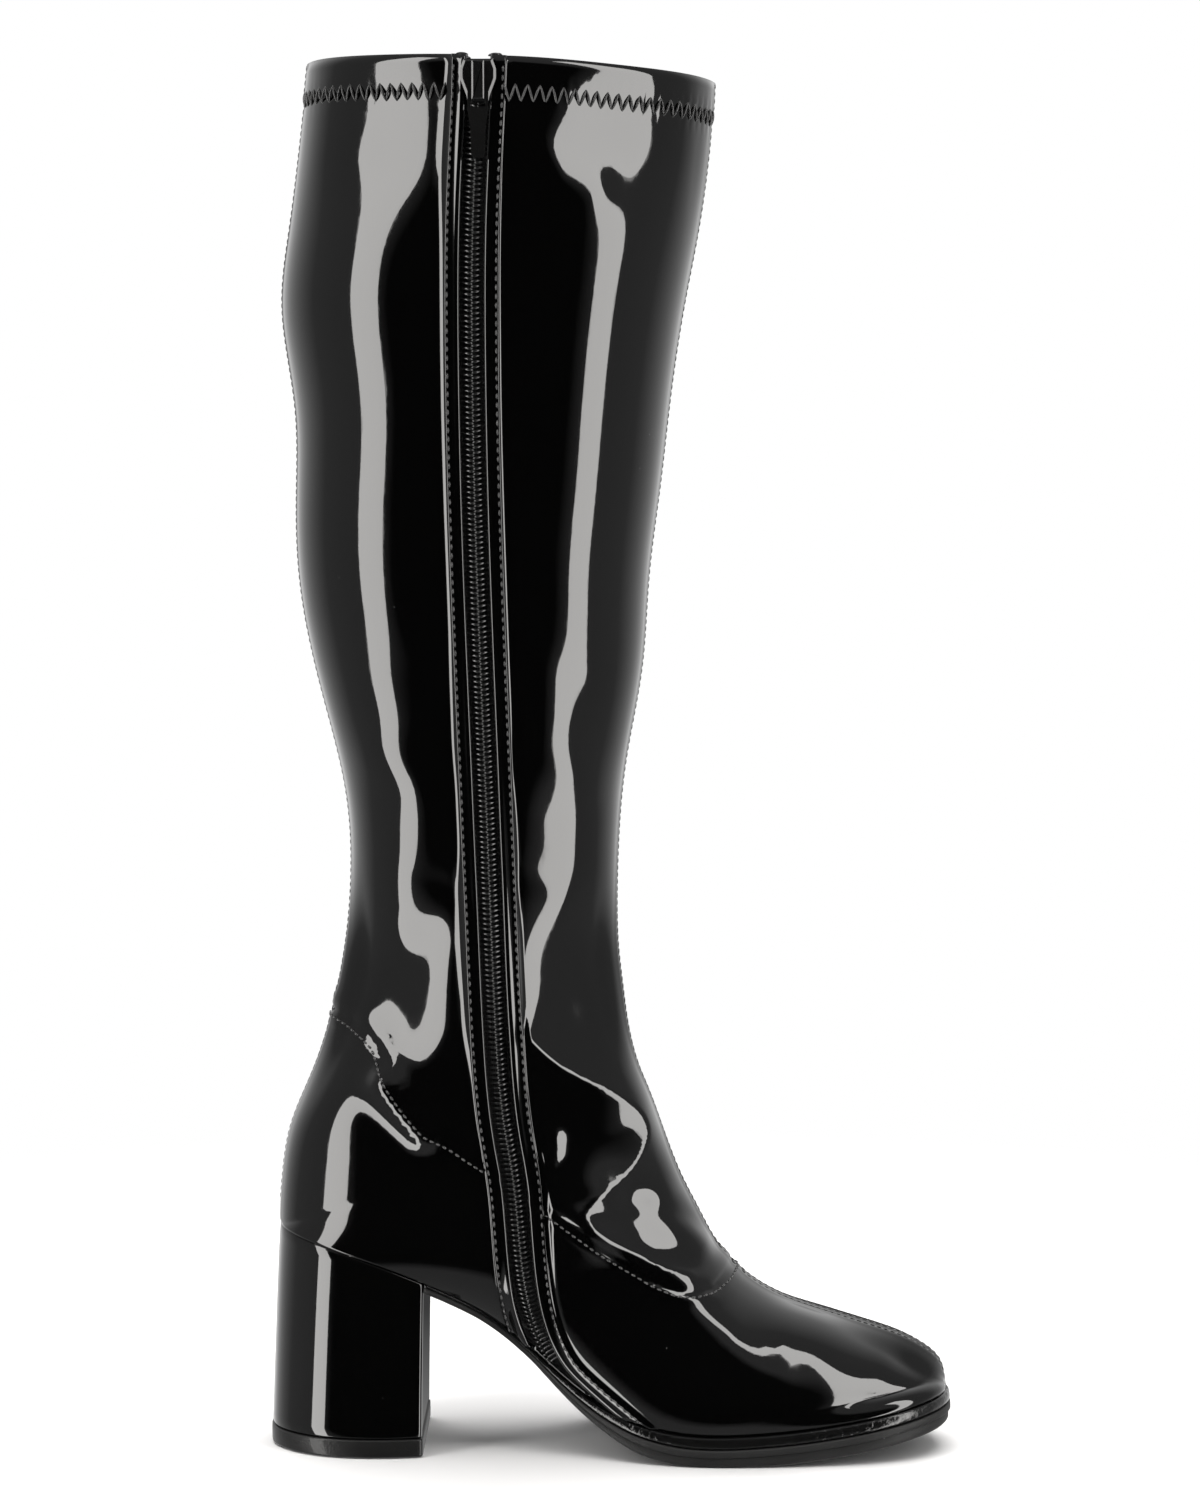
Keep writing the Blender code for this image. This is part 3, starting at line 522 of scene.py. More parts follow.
edges = BACK_EDGES + [-a for a in reversed(BACK_EDGES)]
v = with_rows(even_rows(ROWS, closer=1.9), [run_off(a) for a in edges])
zip_shares = np.stack([zip_share(v, a) for a in edges], 1)
start = section(v).start[:, None]
first, last = turn_at(start, zip_shares[:, :1]), turn_at(start, zip_shares[:, -1:])
back_turn = start + (first - start) * np.arange(BACK_COLUMNS) / BACK_COLUMNS
front_turn = last + (math.pi - last) * np.arange(1, FRONT_COLUMNS + 1) / FRONT_COLUMNS
outer_turn = math.pi - (math.pi - start) * np.arange(1, OUTER_COLUMNS + 1) / OUTER_COLUMNS
shares = np.concatenate([share_of(start, back_turn), zip_shares, share_of(start, front_turn),
                         share_of(start, outer_turn)], 1)
FRONT_SEAM = BACK_COLUMNS + len(edges) + FRONT_COLUMNS - 1
SLOT_COLUMN = BACK_COLUMNS + len(BACK_EDGES) - 1
sides = np.where(np.arange(shares.shape[1]) <= FRONT_SEAM, -1, 1)
skin = surface(np.repeat(v[:, None], shares.shape[1], 1), shares, np.broadcast_to(sides, shares.shape))
print("skin grid", skin.shape)


# %% Lengths along the skin, to place hem, seams and stitches
def outward(grid):
    """Unit normals of a grid of points from its two directions, zero where the grid has collapsed."""
    normal = np.cross(np.gradient(grid, axis=0), np.gradient(grid, axis=1))
    size = np.linalg.norm(normal, axis=-1, keepdims=True)
    return normal / np.maximum(size, 1e-12) * (size > 1e-10)


def travelled(grid, axis):
    """Length along the grid's rows or columns up to each point."""
    step = np.linalg.norm(np.diff(grid, axis=axis), axis=-1)
    return np.concatenate([np.zeros_like(step.take([0], axis)), np.cumsum(step, axis)], axis)


down = travelled(skin, 0)
around = travelled(skin, 1)
from_front = np.abs(around - around[:, FRONT_SEAM:FRONT_SEAM + 1])
from_back = np.minimum(around, around[:, -1:] - around)
on_shaft = (v < HEEL_SEAT)[:, None]


def hill(distance, width):
    """Bell curve: 1 at distance 0, and nearly 0 past twice the width."""
    return np.exp(-(distance / width) ** 2)


def ramp(value, low, high):
    """S-shaped step from 0 at low to 1 at high: three times t squared less twice t cubed."""
    t = np.clip((value - low) / (high - low), 0, 1)
    return t * t * (3 - 2 * t)


# %% Folds, listed in millimetres seen from the side
def to_path(x, z, path):
    """Distance of each point to a line of corners in mm, and its side of the line: 1 left, -1 right."""
    corners = np.array(path, float) / 1000
    lengths = np.linalg.norm(np.diff(corners, axis=0), axis=1)
    best = np.full(x.shape, np.inf)
    over = np.zeros(x.shape)
    for i, length in enumerate(lengths):
        way = (corners[i + 1] - corners[i]) / length
        dx, dz = x - corners[i][0], z - corners[i][1]
        t = np.clip(dx * way[0] + dz * way[1], 0, length)
        distance = np.hypot(dx - t * way[0], dz - t * way[1])
        near = distance < best
        best = np.where(near, distance, best)
        over = np.where(near, np.sign(way[0] * dz - way[1] * dx), over)
    return best, over


# Depth and width, then the corners of the line. A trough has a depth above 0, and a ridge one below.
INSIDE_FOLDS = [
    (3.2, 20, [(14, 445), (15, 434)]),
    (4.4, 22, [(97, 444), (96, 438)]),
    (-2.4, 11, [(61, 438), (64, 434)]),
    (-0.8, 9, [(66, 452), (74, 446)]),
    (-1.0, 8, [(74, 424), (84, 421)]),
    (0.7, 12, [(24, 262), (30, 240)]),
    (-0.7, 8, [(12, 236), (26, 228)]),
    (0.8, 10, [(80, 262), (84, 246)]),
    (-0.8, 9, [(64, 236), (82, 228)]),
    (1.4, 12, [(72, 214), (70, 200)]),
    (-0.8, 8, [(58, 196), (74, 190)]),
    (1.8, 11, [(34, 190), (28, 180)]),
    (7.6, 23, [(13, 160), (14, 148)]),
    (5.2, 20, [(79, 164), (78, 152)]),
    (-4.2, 6, [(14, 127), (29, 111)]),
    (-3.0, 12, [(80, 90), (82, 76)]),
    (-1.4, 6, [(107, 84), (112, 78), (120, 70)]),
    (-1.6, 4, [(70, 109), (70, 104)]),
    (-1.6, 4, [(67.5, 99), (67.5, 95)]),
    (-1.6, 4, [(41, 105), (41, 100)]),
    (1.0, 4, [(96, 86), (110, 82), (122, 77)]),
    (-1.3, 8, [(104, 61), (114, 54), (128, 44), (138, 33), (144, 29)]),
    (0.8, 10, [(130, 56), (146, 40)]),
]
OUTSIDE_FOLDS = [
    (-1.2, 14, [(14, 430), (36, 436)]),
    (1.0, 8, [(60, 442), (84, 434), (102, 424)]),
    (0.8, 8, [(20, 250), (50, 240), (80, 250)]),
    (1.5, 7, [(6, 190), (34, 182), (60, 188), (84, 198)]),
    (-1.6, 10, [(22, 172), (60, 170)]),
    (1.6, 7, [(10, 156), (40, 148), (70, 140), (92, 132)]),
    (-1.5, 10, [(30, 132), (70, 122)]),
    (1.5, 6, [(84, 98), (98, 106), (110, 110)]),
    (0.8, 10, [(130, 56), (146, 40)]),
]
TOE_FOLDS = [(6.8, 22, [(186, 26), (184, 21)]), (-2.2, 9, [(150, 42), (166, 40), (182, 38)])]
INSTEP_CREST = [(62, 143), (73, 132), (86, 124), (96, 117), (100.5, 109), (97, 99), (90, 92), (83, 87),
                (79.5, 82), (82, 77)]
SEAM_CREST = [(82, 77), (101, 66.5), (116, 61)]


def rounded(corners):
    """The same line with its corners rounded, by the curve that the last uses, in 40 steps."""
    return spline(corners, np.linspace(0, len(corners) - 1, 40))


INSIDE_CRESTS = [(-4.4, 13, rounded(INSTEP_CREST)), (-1.6, 5, SEAM_CREST)]
OUTSIDE_CRESTS = [(-3.0, 12, rounded(INSTEP_CREST[5:])), (-1.6, 5, SEAM_CREST)]


def folded(x, z, folds, crests):
    """Sum of folds, a bell curve of the distance to each line, and crests, like e to the minus distance.

    So a fold is soft all over, and a crest has a sharp line, as where loose patent folds over.
    """
    total = np.zeros(x.shape)
    for depth, width, path in folds:
        total -= depth / 1000 * hill(to_path(x, z, path)[0], width / 1000)
    for depth, width, path in crests:
        total -= depth / 1000 * np.exp(-to_path(x, z, path)[0] * 1000 / width)
    return total


# %% Seams: front and back, and the slanting one between shaft and vamp
VAMP_SEAM = [(-8, 151), (-2, 147), (8, 140), (17, 127), (24, 118), (29, 112), (38, 107), (48, 100),
             (58, 92), (70, 84), (75, 80), (86, 72), (98, 64.5), (104, 60.5), (112, 56.8), (118, 56),
             (124, 57), (130, 60), (136, 64)]


def groove(distance):
    """Cross-section of a centre seam: a groove on its line and a low rib beside it."""
    return -0.0006 * hill(distance, 0.0009) + 0.0003 * hill(distance - 0.0026, 0.0014)


def seam_relief(vamp_distance, vamp_over):
    """Grooves with a low rib beside them, for the centre seams and the seam between shaft and vamp."""
    below = np.maximum(-vamp_over, 0) * vamp_distance
    above = np.maximum(vamp_over, 0) * vamp_distance
    vamp = -0.0007 * hill(vamp_distance, 0.0008) + 0.0004 * hill(below - 0.0020, 0.0013) * (vamp_over < 0)
    puff = 0.0006 * hill(above - 0.0035, 0.0030) * (vamp_over > 0)
    return groove(from_front) + groove(from_back) * on_shaft + vamp + puff


x, z = skin[..., 0], skin[..., 2]
vamp_distance, vamp_over = to_path(x, z, VAMP_SEAM)
raised = seam_relief(vamp_distance, vamp_over)
inner = folded(x, z, INSIDE_FOLDS, INSIDE_CRESTS)
outer = folded(x, z, OUTSIDE_FOLDS, OUTSIDE_CRESTS)
off_seams = ramp(np.minimum(from_front, np.where(on_shaft, from_back, 1)), 0.000, 0.016)
off_sole = np.where(on_shaft, 1, ramp(from_back, 0.0005, 0.0080))
toe = folded(x, z, TOE_FOLDS, []) * off_sole * (sides < 0)
raised += (np.where(sides < 0, inner, outer) + toe) * off_seams


# %% Hem under the collar, and the facings of the zip
HEM, HEM_PITCH, HEM_HALF = 0.0118, 0.0040, 0.0029
pucker = 0.00022 * np.sin(around * 2 * math.pi / HEM_PITCH) * hill(down - HEM, 0.0035)
raised += 0.00035 * (1 - ramp(down, HEM - 0.0004, HEM + 0.0004)) + pucker
raised -= 0.0004 * hill(down - HEM, 0.0012)
at_zip = slice(BACK_COLUMNS, BACK_COLUMNS + len(edges))
facing = np.zeros(shares.shape)
facing[:, at_zip] = FACING_RISE + FACING_RISE[::-1]
facing *= shares > 0
on_facing = np.zeros(len(sides), bool)
on_facing[at_zip] = True
raised = np.where(on_facing, raised * 0.35 + facing, raised)
skin = skin + outward(skin) * raised[..., None]
heights = [round(value * 1000, 2) for value in (raised.max(), raised.min())]
print("tallest ridge and deepest trough in mm:", *heights)

# %% The skin becomes a wall with a lining
skin_faces = grid_faces(*shares.shape, skip=(SLOT_COLUMN,))
upper = new_piece("boot_upper", skin, skin_faces, [patent, lining], ["upper"])
wall = upper.modifiers.new("Wall", "SOLIDIFY")
wall.thickness = WALL
wall.offset = -1
wall.use_even_offset = False
wall.material_offset = 1

# %% [markdown]
# ## Stitches
# Each stitch is a short bead of thread that dips into the material at both ends. One function makes any
# number of them at once from two lists, where they start and where they end. What differs from seam to
# seam is the line.


# %% Beads of thread between two lists of points
def threads(name, starts, ends, normals, radius, rise):
    """Beads: tubes of six sides whose radius and height follow a half circle from end to end."""
    t = np.linspace(-1, 1, 6)
    profile = np.sqrt(1 - 0.85 * t ** 2) * radius
    turn = np.arange(6) * math.pi / 3
    side = unit(np.cross(unit(ends - starts), normals))
    middle = (starts + ends)[:, None] / 2 + (ends - starts)[:, None] / 2 * t[None, :, None]
    middle = middle + normals[:, None] * (radius * rise * (1 - 1.5 * t ** 2))[None, :, None]
    ring = (normals[:, None, None] * (profile[:, None] * np.cos(turn))[None, ..., None]
            + side[:, None, None] * (profile[:, None] * np.sin(turn))[None, ..., None])
    points = middle[:, :, None] + ring
    starts_at = np.arange(len(starts))[:, None, None] * 36
    faces = (grid_faces(6, 6, True)[None] + starts_at).reshape(-1, 4).tolist()
    caps = np.stack([np.arange(6)[::-1], np.arange(30, 36)])[None] + starts_at
    return new_piece(name, points, faces + caps.reshape(-1, 6).tolist(), [thread], weld=False)


def at_lengths(path, travel, at):
    """Points of a path, or normals along it, at the lengths in at."""
    return np.stack([np.interp(at, travel, column) for column in path.T], 1)


def resample(path, step, normals):
    """Points and normals every step along a path."""
    travel = travelled(path, 0)
    at = np.arange(0, travel[-1], step)
    return at_lengths(path, travel, at), unit(at_lengths(normals, travel, at))


Stitch = namedtuple("Stitch", "pitch length radius rise")
ZIP_STITCH = Stitch(0.0029, 0.0021, 0.00042, 0.9)
CENTRE_STITCH = Stitch(0.0024, 0.0018, 0.00024, 0.1)
VAMP_STITCH = Stitch(0.0025, 0.0018, 0.00042, 0.9)
CENTRE_INSET, VAMP_INSET = 0.0022, 0.0018


def stitch_row(name, path, normals, stitch):
    """Stitches along a path, one in each pitch, with half of what the stitch leaves free on either side."""
    points, up = resample(path, stitch.pitch, normals)
    gap = (points[1:] - points[:-1]) * ((1 - stitch.length / stitch.pitch) / 2)
    return threads(name, points[:-1] + gap, points[1:] - gap, up[:-1], stitch.radius, stitch.rise)


# %% Lines on the skin where something reaches a level
skin_normal = outward(skin)


def along_column(column, first, last):
    """Points and normals of one column of the skin, less those where it has collapsed."""
    keep = np.linalg.norm(skin_normal[first:last, column], axis=1) > 0.5
    return skin[first:last, column][keep], skin_normal[first:last, column][keep]


def level_line(values, level, columns, by_row=False):
    """Where values passes level between two rows of a column, or by_row between two columns of a row."""
    parts = [grid[:, columns] for grid in (values, skin, skin_normal)]
    if by_row:
        parts = [grid.swapaxes(0, 1) for grid in parts]
    part, grid, normal = parts
    passed = part >= level
    hit = passed.any(0) & ~passed[0]
    r = np.argmax(passed, 0)[hit]
    c = np.nonzero(hit)[0]
    low, high = part[r - 1, c], part[r, c]
    t = ((level - low) / np.maximum(high - low, 1e-9))[:, None]
    points = grid[r - 1, c] * (1 - t) + grid[r, c] * t
    return points, unit(normal[r - 1, c] * (1 - t) + normal[r, c] * t), c


# %% Stitches beside the zip, and along the front and back seams
for number, across in enumerate((-STITCH_LINE, STITCH_LINE)):
    path, up = along_column(BACK_COLUMNS + edges.index(across), 1, int(np.argmax(v > run_off(across))) - 1)
    stitch_row(f"facing_stitches_{number}", path, up, ZIP_STITCH)
for number, columns in enumerate((np.arange(FRONT_SEAM, -1, -1), np.arange(FRONT_SEAM, len(sides)))):
    path, up, _ = level_line(from_front, CENTRE_INSET, columns, by_row=True)
    stitch_row(f"front_stitches_{number}", path, up, CENTRE_STITCH)
last_back = int(np.argmax(v > HEEL_SEAT - 0.3))
parts = ((around, np.arange(0, FRONT_SEAM)),
         (around[:, -1:] - around, np.arange(len(sides) - 1, FRONT_SEAM, -1)))
for number, (distance, columns) in enumerate(parts):
    path, up, rows = level_line(distance, CENTRE_INSET, columns, by_row=True)
    high = rows < last_back
    stitch_row(f"back_stitches_{number}", path[high], up[high], CENTRE_STITCH)

# %% Stitches of the slanting seam, and the zigzag of the hem
signed = -vamp_over * vamp_distance
parts = (np.arange(0, BACK_COLUMNS + 2), np.arange(BACK_COLUMNS + len(edges) - 2, FRONT_SEAM + 1),
         np.arange(FRONT_SEAM, len(sides)))
for number, columns in enumerate(parts):
    path, up, _ = level_line(signed, VAMP_INSET, columns)
    stitch_row(f"vamp_stitches_{number}", path, up, VAMP_STITCH)
for number, columns in enumerate((np.arange(0, SLOT_COLUMN - 7), np.arange(SLOT_COLUMN + 9, len(sides)))):
    lines = [level_line(down, HEM + rise, columns)[:2] for rise in (-HEM_HALF, HEM_HALF)]
    (high, up), (low, _) = [resample(path, HEM_PITCH, normals) for path, normals in lines]
    count = min(len(high), len(low))
    high, low, up = high[:count], low[:count], up[:count - 1]
    between = (low[:-1] + low[1:]) / 2
    threads(f"hem_stitches_{number}", np.concatenate([high[:-1], between]),
            np.concatenate([between, high[1:]]), np.concatenate([up, up]), 0.00044, 0.8)

# %% [markdown]
# ## The zip
# A coil zip is two springs of nylon that hook into each other on a woven tape. Each turn shows as a short
# bar that climbs from the tape, crosses the middle and dips again. Bars from left and right alternate.

# %% Middle line of the zip with its own directions
zip_rows = even_rows(400, 0.0, run_off(0.0, 0.001))
inside = np.full(len(zip_rows), -1)
zip_middle = surface(zip_rows, zip_share(zip_rows, 0.0), inside)
zip_up = surface_normal(zip_rows, zip_share(zip_rows, 0.0), inside)
zip_middle = np.concatenate([zip_middle[:1] + [0, 0, 0.0004], zip_middle])
zip_up = np.concatenate([zip_up[:1], zip_up])
SPLAY, SPLAY_LENGTH, PITCH = 0.0036, 0.0095, 0.00172
beads, bead_up = resample(zip_middle, PITCH / 2, zip_up)
way = unit(np.gradient(beads, axis=0))
bead_side = np.cross(bead_up, way)
bead_side *= np.sign(bead_side[:, :1])
apart = SPLAY * (1 - ramp(np.arange(len(beads)) * PITCH / 2, 0.0, SPLAY_LENGTH))
print("turns of the coil:", len(beads))


# %% Turns of the coil
BAR_START, BAR_REACH, BAR_LEAN, BAR_RADIUS = 0.0034, 0.0041, 0.00055, 0.00046


def coil_bars(middle, up, side, way, apart, hand):
    """Bars from one edge over the middle: each climbs like a roof, then its end turns down to the tape."""
    t = np.linspace(0, 1, 8)
    across = hand * (BAR_START - BAR_REACH * t[None] + apart[:, None])
    drop = 0.00020 + 0.00135 * np.clip(1 - t / 0.62, 0, 1) + 0.00085 * ramp(t, 0.68, 1.0)
    slant = BAR_LEAN * t
    line = (middle[:, None] + side[:, None] * across[..., None] - up[:, None] * drop[None, :, None]
            + way[:, None] * slant[None, :, None])
    step = unit(np.gradient(line, axis=1))
    over = unit(np.cross(step, way[:, None]))
    flank = np.cross(step, over)
    turn = np.arange(6) * math.pi / 3
    radius = BAR_RADIUS * np.sqrt(1 - 0.8 * (2 * t - 1) ** 6)
    return line[:, :, None] + radius[None, :, None, None] * (
        over[:, :, None] * np.cos(turn)[:, None] + flank[:, :, None] * np.sin(turn)[:, None])


halves = [(beads[i::2], bead_up[i::2], bead_side[i::2], way[i::2], apart[i::2], 1 - 2 * i) for i in (0, 1)]
bars = np.concatenate([coil_bars(*half) for half in halves])
starts_at = np.arange(len(bars))[:, None, None] * 48
bar_faces = (grid_faces(8, 6, True)[None] + starts_at).reshape(-1, 4).tolist()
bar_caps = np.stack([np.arange(6), np.arange(42, 48)])[None] + starts_at
new_piece("zip_coil_turns", bars, bar_faces + bar_caps.reshape(-1, 6).tolist(), [coil_nylon],
          ["zip_coil"], weld=False)


# %% Two halves of the tape
TAPE_HALF, TAPE_THICKNESS, TAPE_FLOOR = 0.0075, 0.0006, 0.0034


def tape_half(name, hand, replaces):
    """Half of the tape: a closed ring of points across it, carried from the collar down to the sole.

    Its inner edge lies at the zip's middle, and moves out over the slider, where the halves part.
    """
    across = np.linspace(0.00005, TAPE_HALF, 9)
    rows = even_rows(300, 0.0, run_off(hand * across[0], TAPE_FLOOR))
    side = np.full(len(rows), -1)
    below = travelled(surface(rows, zip_share(rows, 0.0, TAPE_FLOOR), side), 0)
    places = [zip_share(rows, hand * a, TAPE_FLOOR) for a in across]
    grid = np.stack([surface(rows, place, side) for place in places], 1)
    up = np.stack([surface_normal(rows, place, side) for place in places], 1)
    width = (across[-1] - across) / across[-1]
    apart = (SPLAY * (1 - ramp(below, 0.0, SPLAY_LENGTH)))[:, None] * width[None]
    grid = grid + np.array([hand, 0, 0]) * apart[..., None]
    depth = (WALL + 0.0002) * (1 - 0.75 * (1 - ramp(below, 0.0, 0.006)))[:, None, None]
    rings = np.concatenate([grid - up * depth, (grid - up * (depth + TAPE_THICKNESS))[:, ::-1]], 1)
    arch = 0.0008 * np.sqrt(1 - np.linspace(-0.9, 0.9, 9) ** 2)
    lift = np.concatenate([arch, arch[::-1]])[:, None] * [0, 0, 1]
    rings = np.concatenate([rings[:1] + lift, rings])
    return new_piece(name, rings, loft(rings), [tape_weave], replaces)


tape_half("zip_tape_left", -1, ["zip_tape"])
tape_half("zip_tape_right", 1, ["zip_tape"])


# %% [markdown]
# ## Sole, rand and heel
# The sole follows the upper's lower edge, seen from above, a little further out. A profile of a few
# corners is carried along both sides at once, so each station is one ring: down the inside edge, across
# and up the outside.

# %% Outline under the upper
# How far the sole has grown to its full thickness, by the place along the foot.
SOLE_BUILD = np.array([(0, 0), (0.30, 0), (0.38, 0.10), (0.46, 0.50), (0.53, 0.88), (0.60, 1), (1, 1)])
HEEL_LENGTH = 0.0500


def lower_edge(v, side):
    """Lower edge of the upper at the sections v, on one side."""
    return surface(v, np.zeros(len(v)), np.full(len(v), side))


def row_at(x):
    """Section whose lower edge lies at x."""
    rows = np.linspace(HEEL_SEAT, TOE, 800)
    return float(np.interp(x, lower_edge(rows, -1)[:, 0], rows))


def outline(v, grow):
    """Both sides of the lower edge seen from above, moved outwards by grow."""
    foot = np.union1d(even_rows(260, HEEL_SEAT, TOE), v)
    edge = [lower_edge(foot, side) for side in (-1, 1)]
    loop = np.concatenate([edge[0], edge[1][-2:0:-1]])[:, :2]
    tangent = unit(np.roll(loop, -1, axis=0) - np.roll(loop, 1, axis=0))
    moved = loop + grow * np.stack([tangent[:, 1], -tangent[:, 0]], -1)
    inside = moved[:len(foot)]
    outside = np.concatenate([moved[:1], moved[len(foot):][::-1], moved[len(foot) - 1:len(foot)]])
    wanted = np.isin(foot, v)
    return inside[wanted], outside[wanted]


def edge_height(x):
    """Height of the lower edge at x, read on the zip's side."""
    rows = even_rows(400, HEEL_SEAT, TOE)
    edge = lower_edge(rows, -1)
    return np.interp(x, edge[:, 0], edge[:, 2])


def layer_rings(v, profile):
    """Rings of a plate under the lower edge; profile pairs arrays along v: outwards, and below the edge."""
    plain, moved = outline(v, 0.0), outline(v, 1.0)
    halves = [[], []]
    for outwards, below in profile:
        for half, start, end in zip(halves, plain, moved):
            flat = start + (end - start) * outwards[:, None]
            half.append(np.column_stack([flat, np.maximum(edge_height(flat[:, 0]) - below, 0)]))
    return np.stack(halves[0] + halves[1][::-1], 1)


# %% Rand and outsole
# Corners of the rand: metres outwards, share of its bulge, and share of its height from the top down.
RAND_CORNERS = [(-0.0012, 0, 0), (-0.0004, 0, 0.04), (0, 0, 0.16), (0, 0.7, 0.36), (0, 1, 0.58),
                (0, 0.6, 0.82), (0, 0, 0.97), (-0.0006, 0, 1)]
# Corners of the outsole: steps inwards, metres inwards besides, and share of its height from the top down.
SOLE_CORNERS = [(1, 0, 0), (0.3, 0, 0.02), (0, 0, 0.08), (0, 0, 0.34), (0.3, 0, 0.38), (1.3, 0, 0.40),
                (1, 0, 0.43), (1, 0, 0.80), (1, 0.0003, 0.90), (1, 0.0008, 0.97), (1, 0.0014, 1)]
breast = row_at(HEEL_LENGTH - HEEL_REACH + 0.0003)
sole_rows = np.concatenate([[breast], even_rows(190, breast, TOE)[1:]])
share = (lower_edge(sole_rows, -1)[:, 0] + HEEL_REACH) / FOOT_LENGTH
grown = np.interp(share, *SOLE_BUILD.T)
strip = 0.0010 + 0.0029 * grown
sole = 0.0020 + 0.0045 * grown
top = np.full(len(grown), 0.0003)
edge = 0.0008 * grown
bulge = 0.0004 * grown
rand_profile = [(edge + bulge * swell + out, top + strip * deep) for out, swell, deep in RAND_CORNERS]
rings = layer_rings(sole_rows, rand_profile)
new_piece("sole_rand", rings, loft(rings), [rand_gloss], ["rand"])
top = top + strip + 0.0003
edge = 0.0014 * grown
step = 0.0007 * grown
outsole_profile = [(edge - step * steps - inset, top + sole * deep) for steps, inset, deep in SOLE_CORNERS]
rings = layer_rings(sole_rows, outsole_profile)
new_piece("sole_unit", rings, loft(rings), [sole_rubber], ["outsole"])

# %% Sock on the insole
sock_rows = even_rows(150, HEEL_SEAT, TOE)
inset = np.full(len(sock_rows), -WALL - 0.0014)
zero = np.zeros(len(sock_rows))
rings = layer_rings(sock_rows, [(inset, zero), (inset, zero - 0.0014), (inset - 0.0004, zero - 0.0019),
                                (inset - 0.0012, zero - 0.0020)])
new_piece("insole_sock", rings, loft(rings), [sock], ["insole"])


# %% [markdown]
# The block heel is wrapped in the same patent. Its outline is a D at the seat and a slightly larger D at
# the floor; the rings between them lean from one to the other. Each ring is walked evenly and rounded by
# averaging neighbours, which softens the two corners at the breast as folded patent does.

# %% Heel and its top piece
FLOOR_LENGTH, FLOOR_WIDTH, FLOOR_BACK, TIP_TOP, HALF_HEEL = 0.0522, 0.0555, -0.0256, 0.0065, 0.026


def rounded_loop(loop, count, width):
    """Even points on a closed line, each the mean of its neighbours, weighed by a bell curve."""
    closed = np.concatenate([loop, loop[:1]])
    travel = travelled(closed, 0)
    even = at_lengths(closed, travel, np.arange(count) / count * travel[-1])
    reach = np.arange(-20, 21)
    weight = hill(reach * travel[-1] / count, width)
    return sum(w * np.roll(even, int(k), axis=0) for w, k in zip(weight / weight.sum(), reach))


def heel_outlines(grow):
    """Outlines of the heel at the seat and at the floor, the second moved outwards by grow."""
    rows = even_rows(200, HEEL_SEAT, row_at(HEEL_LENGTH - HEEL_REACH))
    inside, outside = outline(rows, 0.0)
    seat = np.concatenate([inside, outside[:0:-1]])
    low, high = seat.min(0), seat.max(0)
    foot = (seat - low) / (high - low) * (FLOOR_LENGTH + 2 * grow, FLOOR_WIDTH + 2 * grow)
    foot += (FLOOR_BACK - grow, (low[1] + high[1] - FLOOR_WIDTH) / 2 - grow)
    seat = np.column_stack([seat, edge_height(seat[:, 0])])
    return rounded_loop(seat, 240, 0.0012), rounded_loop(foot, 240, 0.0012)


seat, foot = heel_outlines(0.0)
level = np.concatenate([[0.0, 0.004], np.linspace(0.01, 0.99, 26), [0.996, 1.0]])
shrink = 0.0004 * (hill(level, 0.004) + hill(level - 1, 0.004))
flat = seat[None, :, :2] + (foot - seat[:, :2])[None] * (level ** 0.8)[:, None, None]
centre = flat.mean(1, keepdims=True)
flat = centre + (flat - centre) * (1 - shrink[:, None, None] / HALF_HEEL)
z_heel = (seat[None, :, 2] - 0.0003) * (1 - level[:, None]) + TIP_TOP * level[:, None]
rings = np.concatenate([flat, z_heel[..., None]], 2)
new_piece("heel_cover", rings, loft(rings), [heel_patent], ["heel"])
foot = heel_outlines(0.0004)[1]
centre = foot.mean(0)
tip = [(0.0062, -0.0005), (0.0060, -0.0001), (0.0056, 0), (0.0009, 0), (0.0003, -0.0002), (0, -0.0008)]
rings = np.stack([np.column_stack([centre + (foot - centre) * (1 + out / HALF_HEEL), np.full(len(foot), z)])
                  for z, out in tip])
new_piece("heel_top_piece", rings, loft(rings), [tip_rubber], ["heel_tip"])

# %% [markdown]
# The slider is a small cast plate with a bridge over it. Its edges are cut at 30 degrees, and those
# narrow cuts are what catches the softboxes: seen from the side, the slider is drawn by its light edges.
# The pull tab hangs from the bridge and keeps the frame's shape, because it swings.

# %% Slider with cut edges, and the pull
SLIDER_WIDTH, SLIDER_LENGTH, SLIDER_PLATE = 0.0115, 0.0140, 0.0012
SLIDER_SIDE = np.array([(0.80, 0.00), (1.00, 0.22), (1.00, 0.45), (0.63, 0.85), (0.56, 1.00)])
BRIDGE_WIDTH, BRIDGE_LENGTH, BRIDGE_BAR, BRIDGE_ROOM = 0.0040, 0.0124, 0.0009, 0.0018
BRIDGE_LEG = 0.0012


def cut_plate(outline, depths, rounding):
    """Rings of a plate from its outline seen from the side; depths pairs how far in, and how far to +y."""
    loop = rounded_loop(outline, 96, rounding)
    tangent = unit(np.roll(loop, -1, axis=0) - np.roll(loop, 1, axis=0))
    inward = np.stack([-tangent[:, 1], tangent[:, 0]], -1)
    inward *= np.sign(((loop.mean(0) - loop) * inward).sum())
    flat = [loop + inward * inset for inset, _ in depths]
    return np.stack([np.column_stack([f[:, 0], np.full(len(f), y), f[:, 1]])
                     for f, (_, y) in zip(flat, depths)])


def box_outline(wide, low, high):
    """Corners of an upright rectangle round x = 0."""
    return np.array([(-wide / 2, low), (wide / 2, low), (wide / 2, high), (-wide / 2, high)])


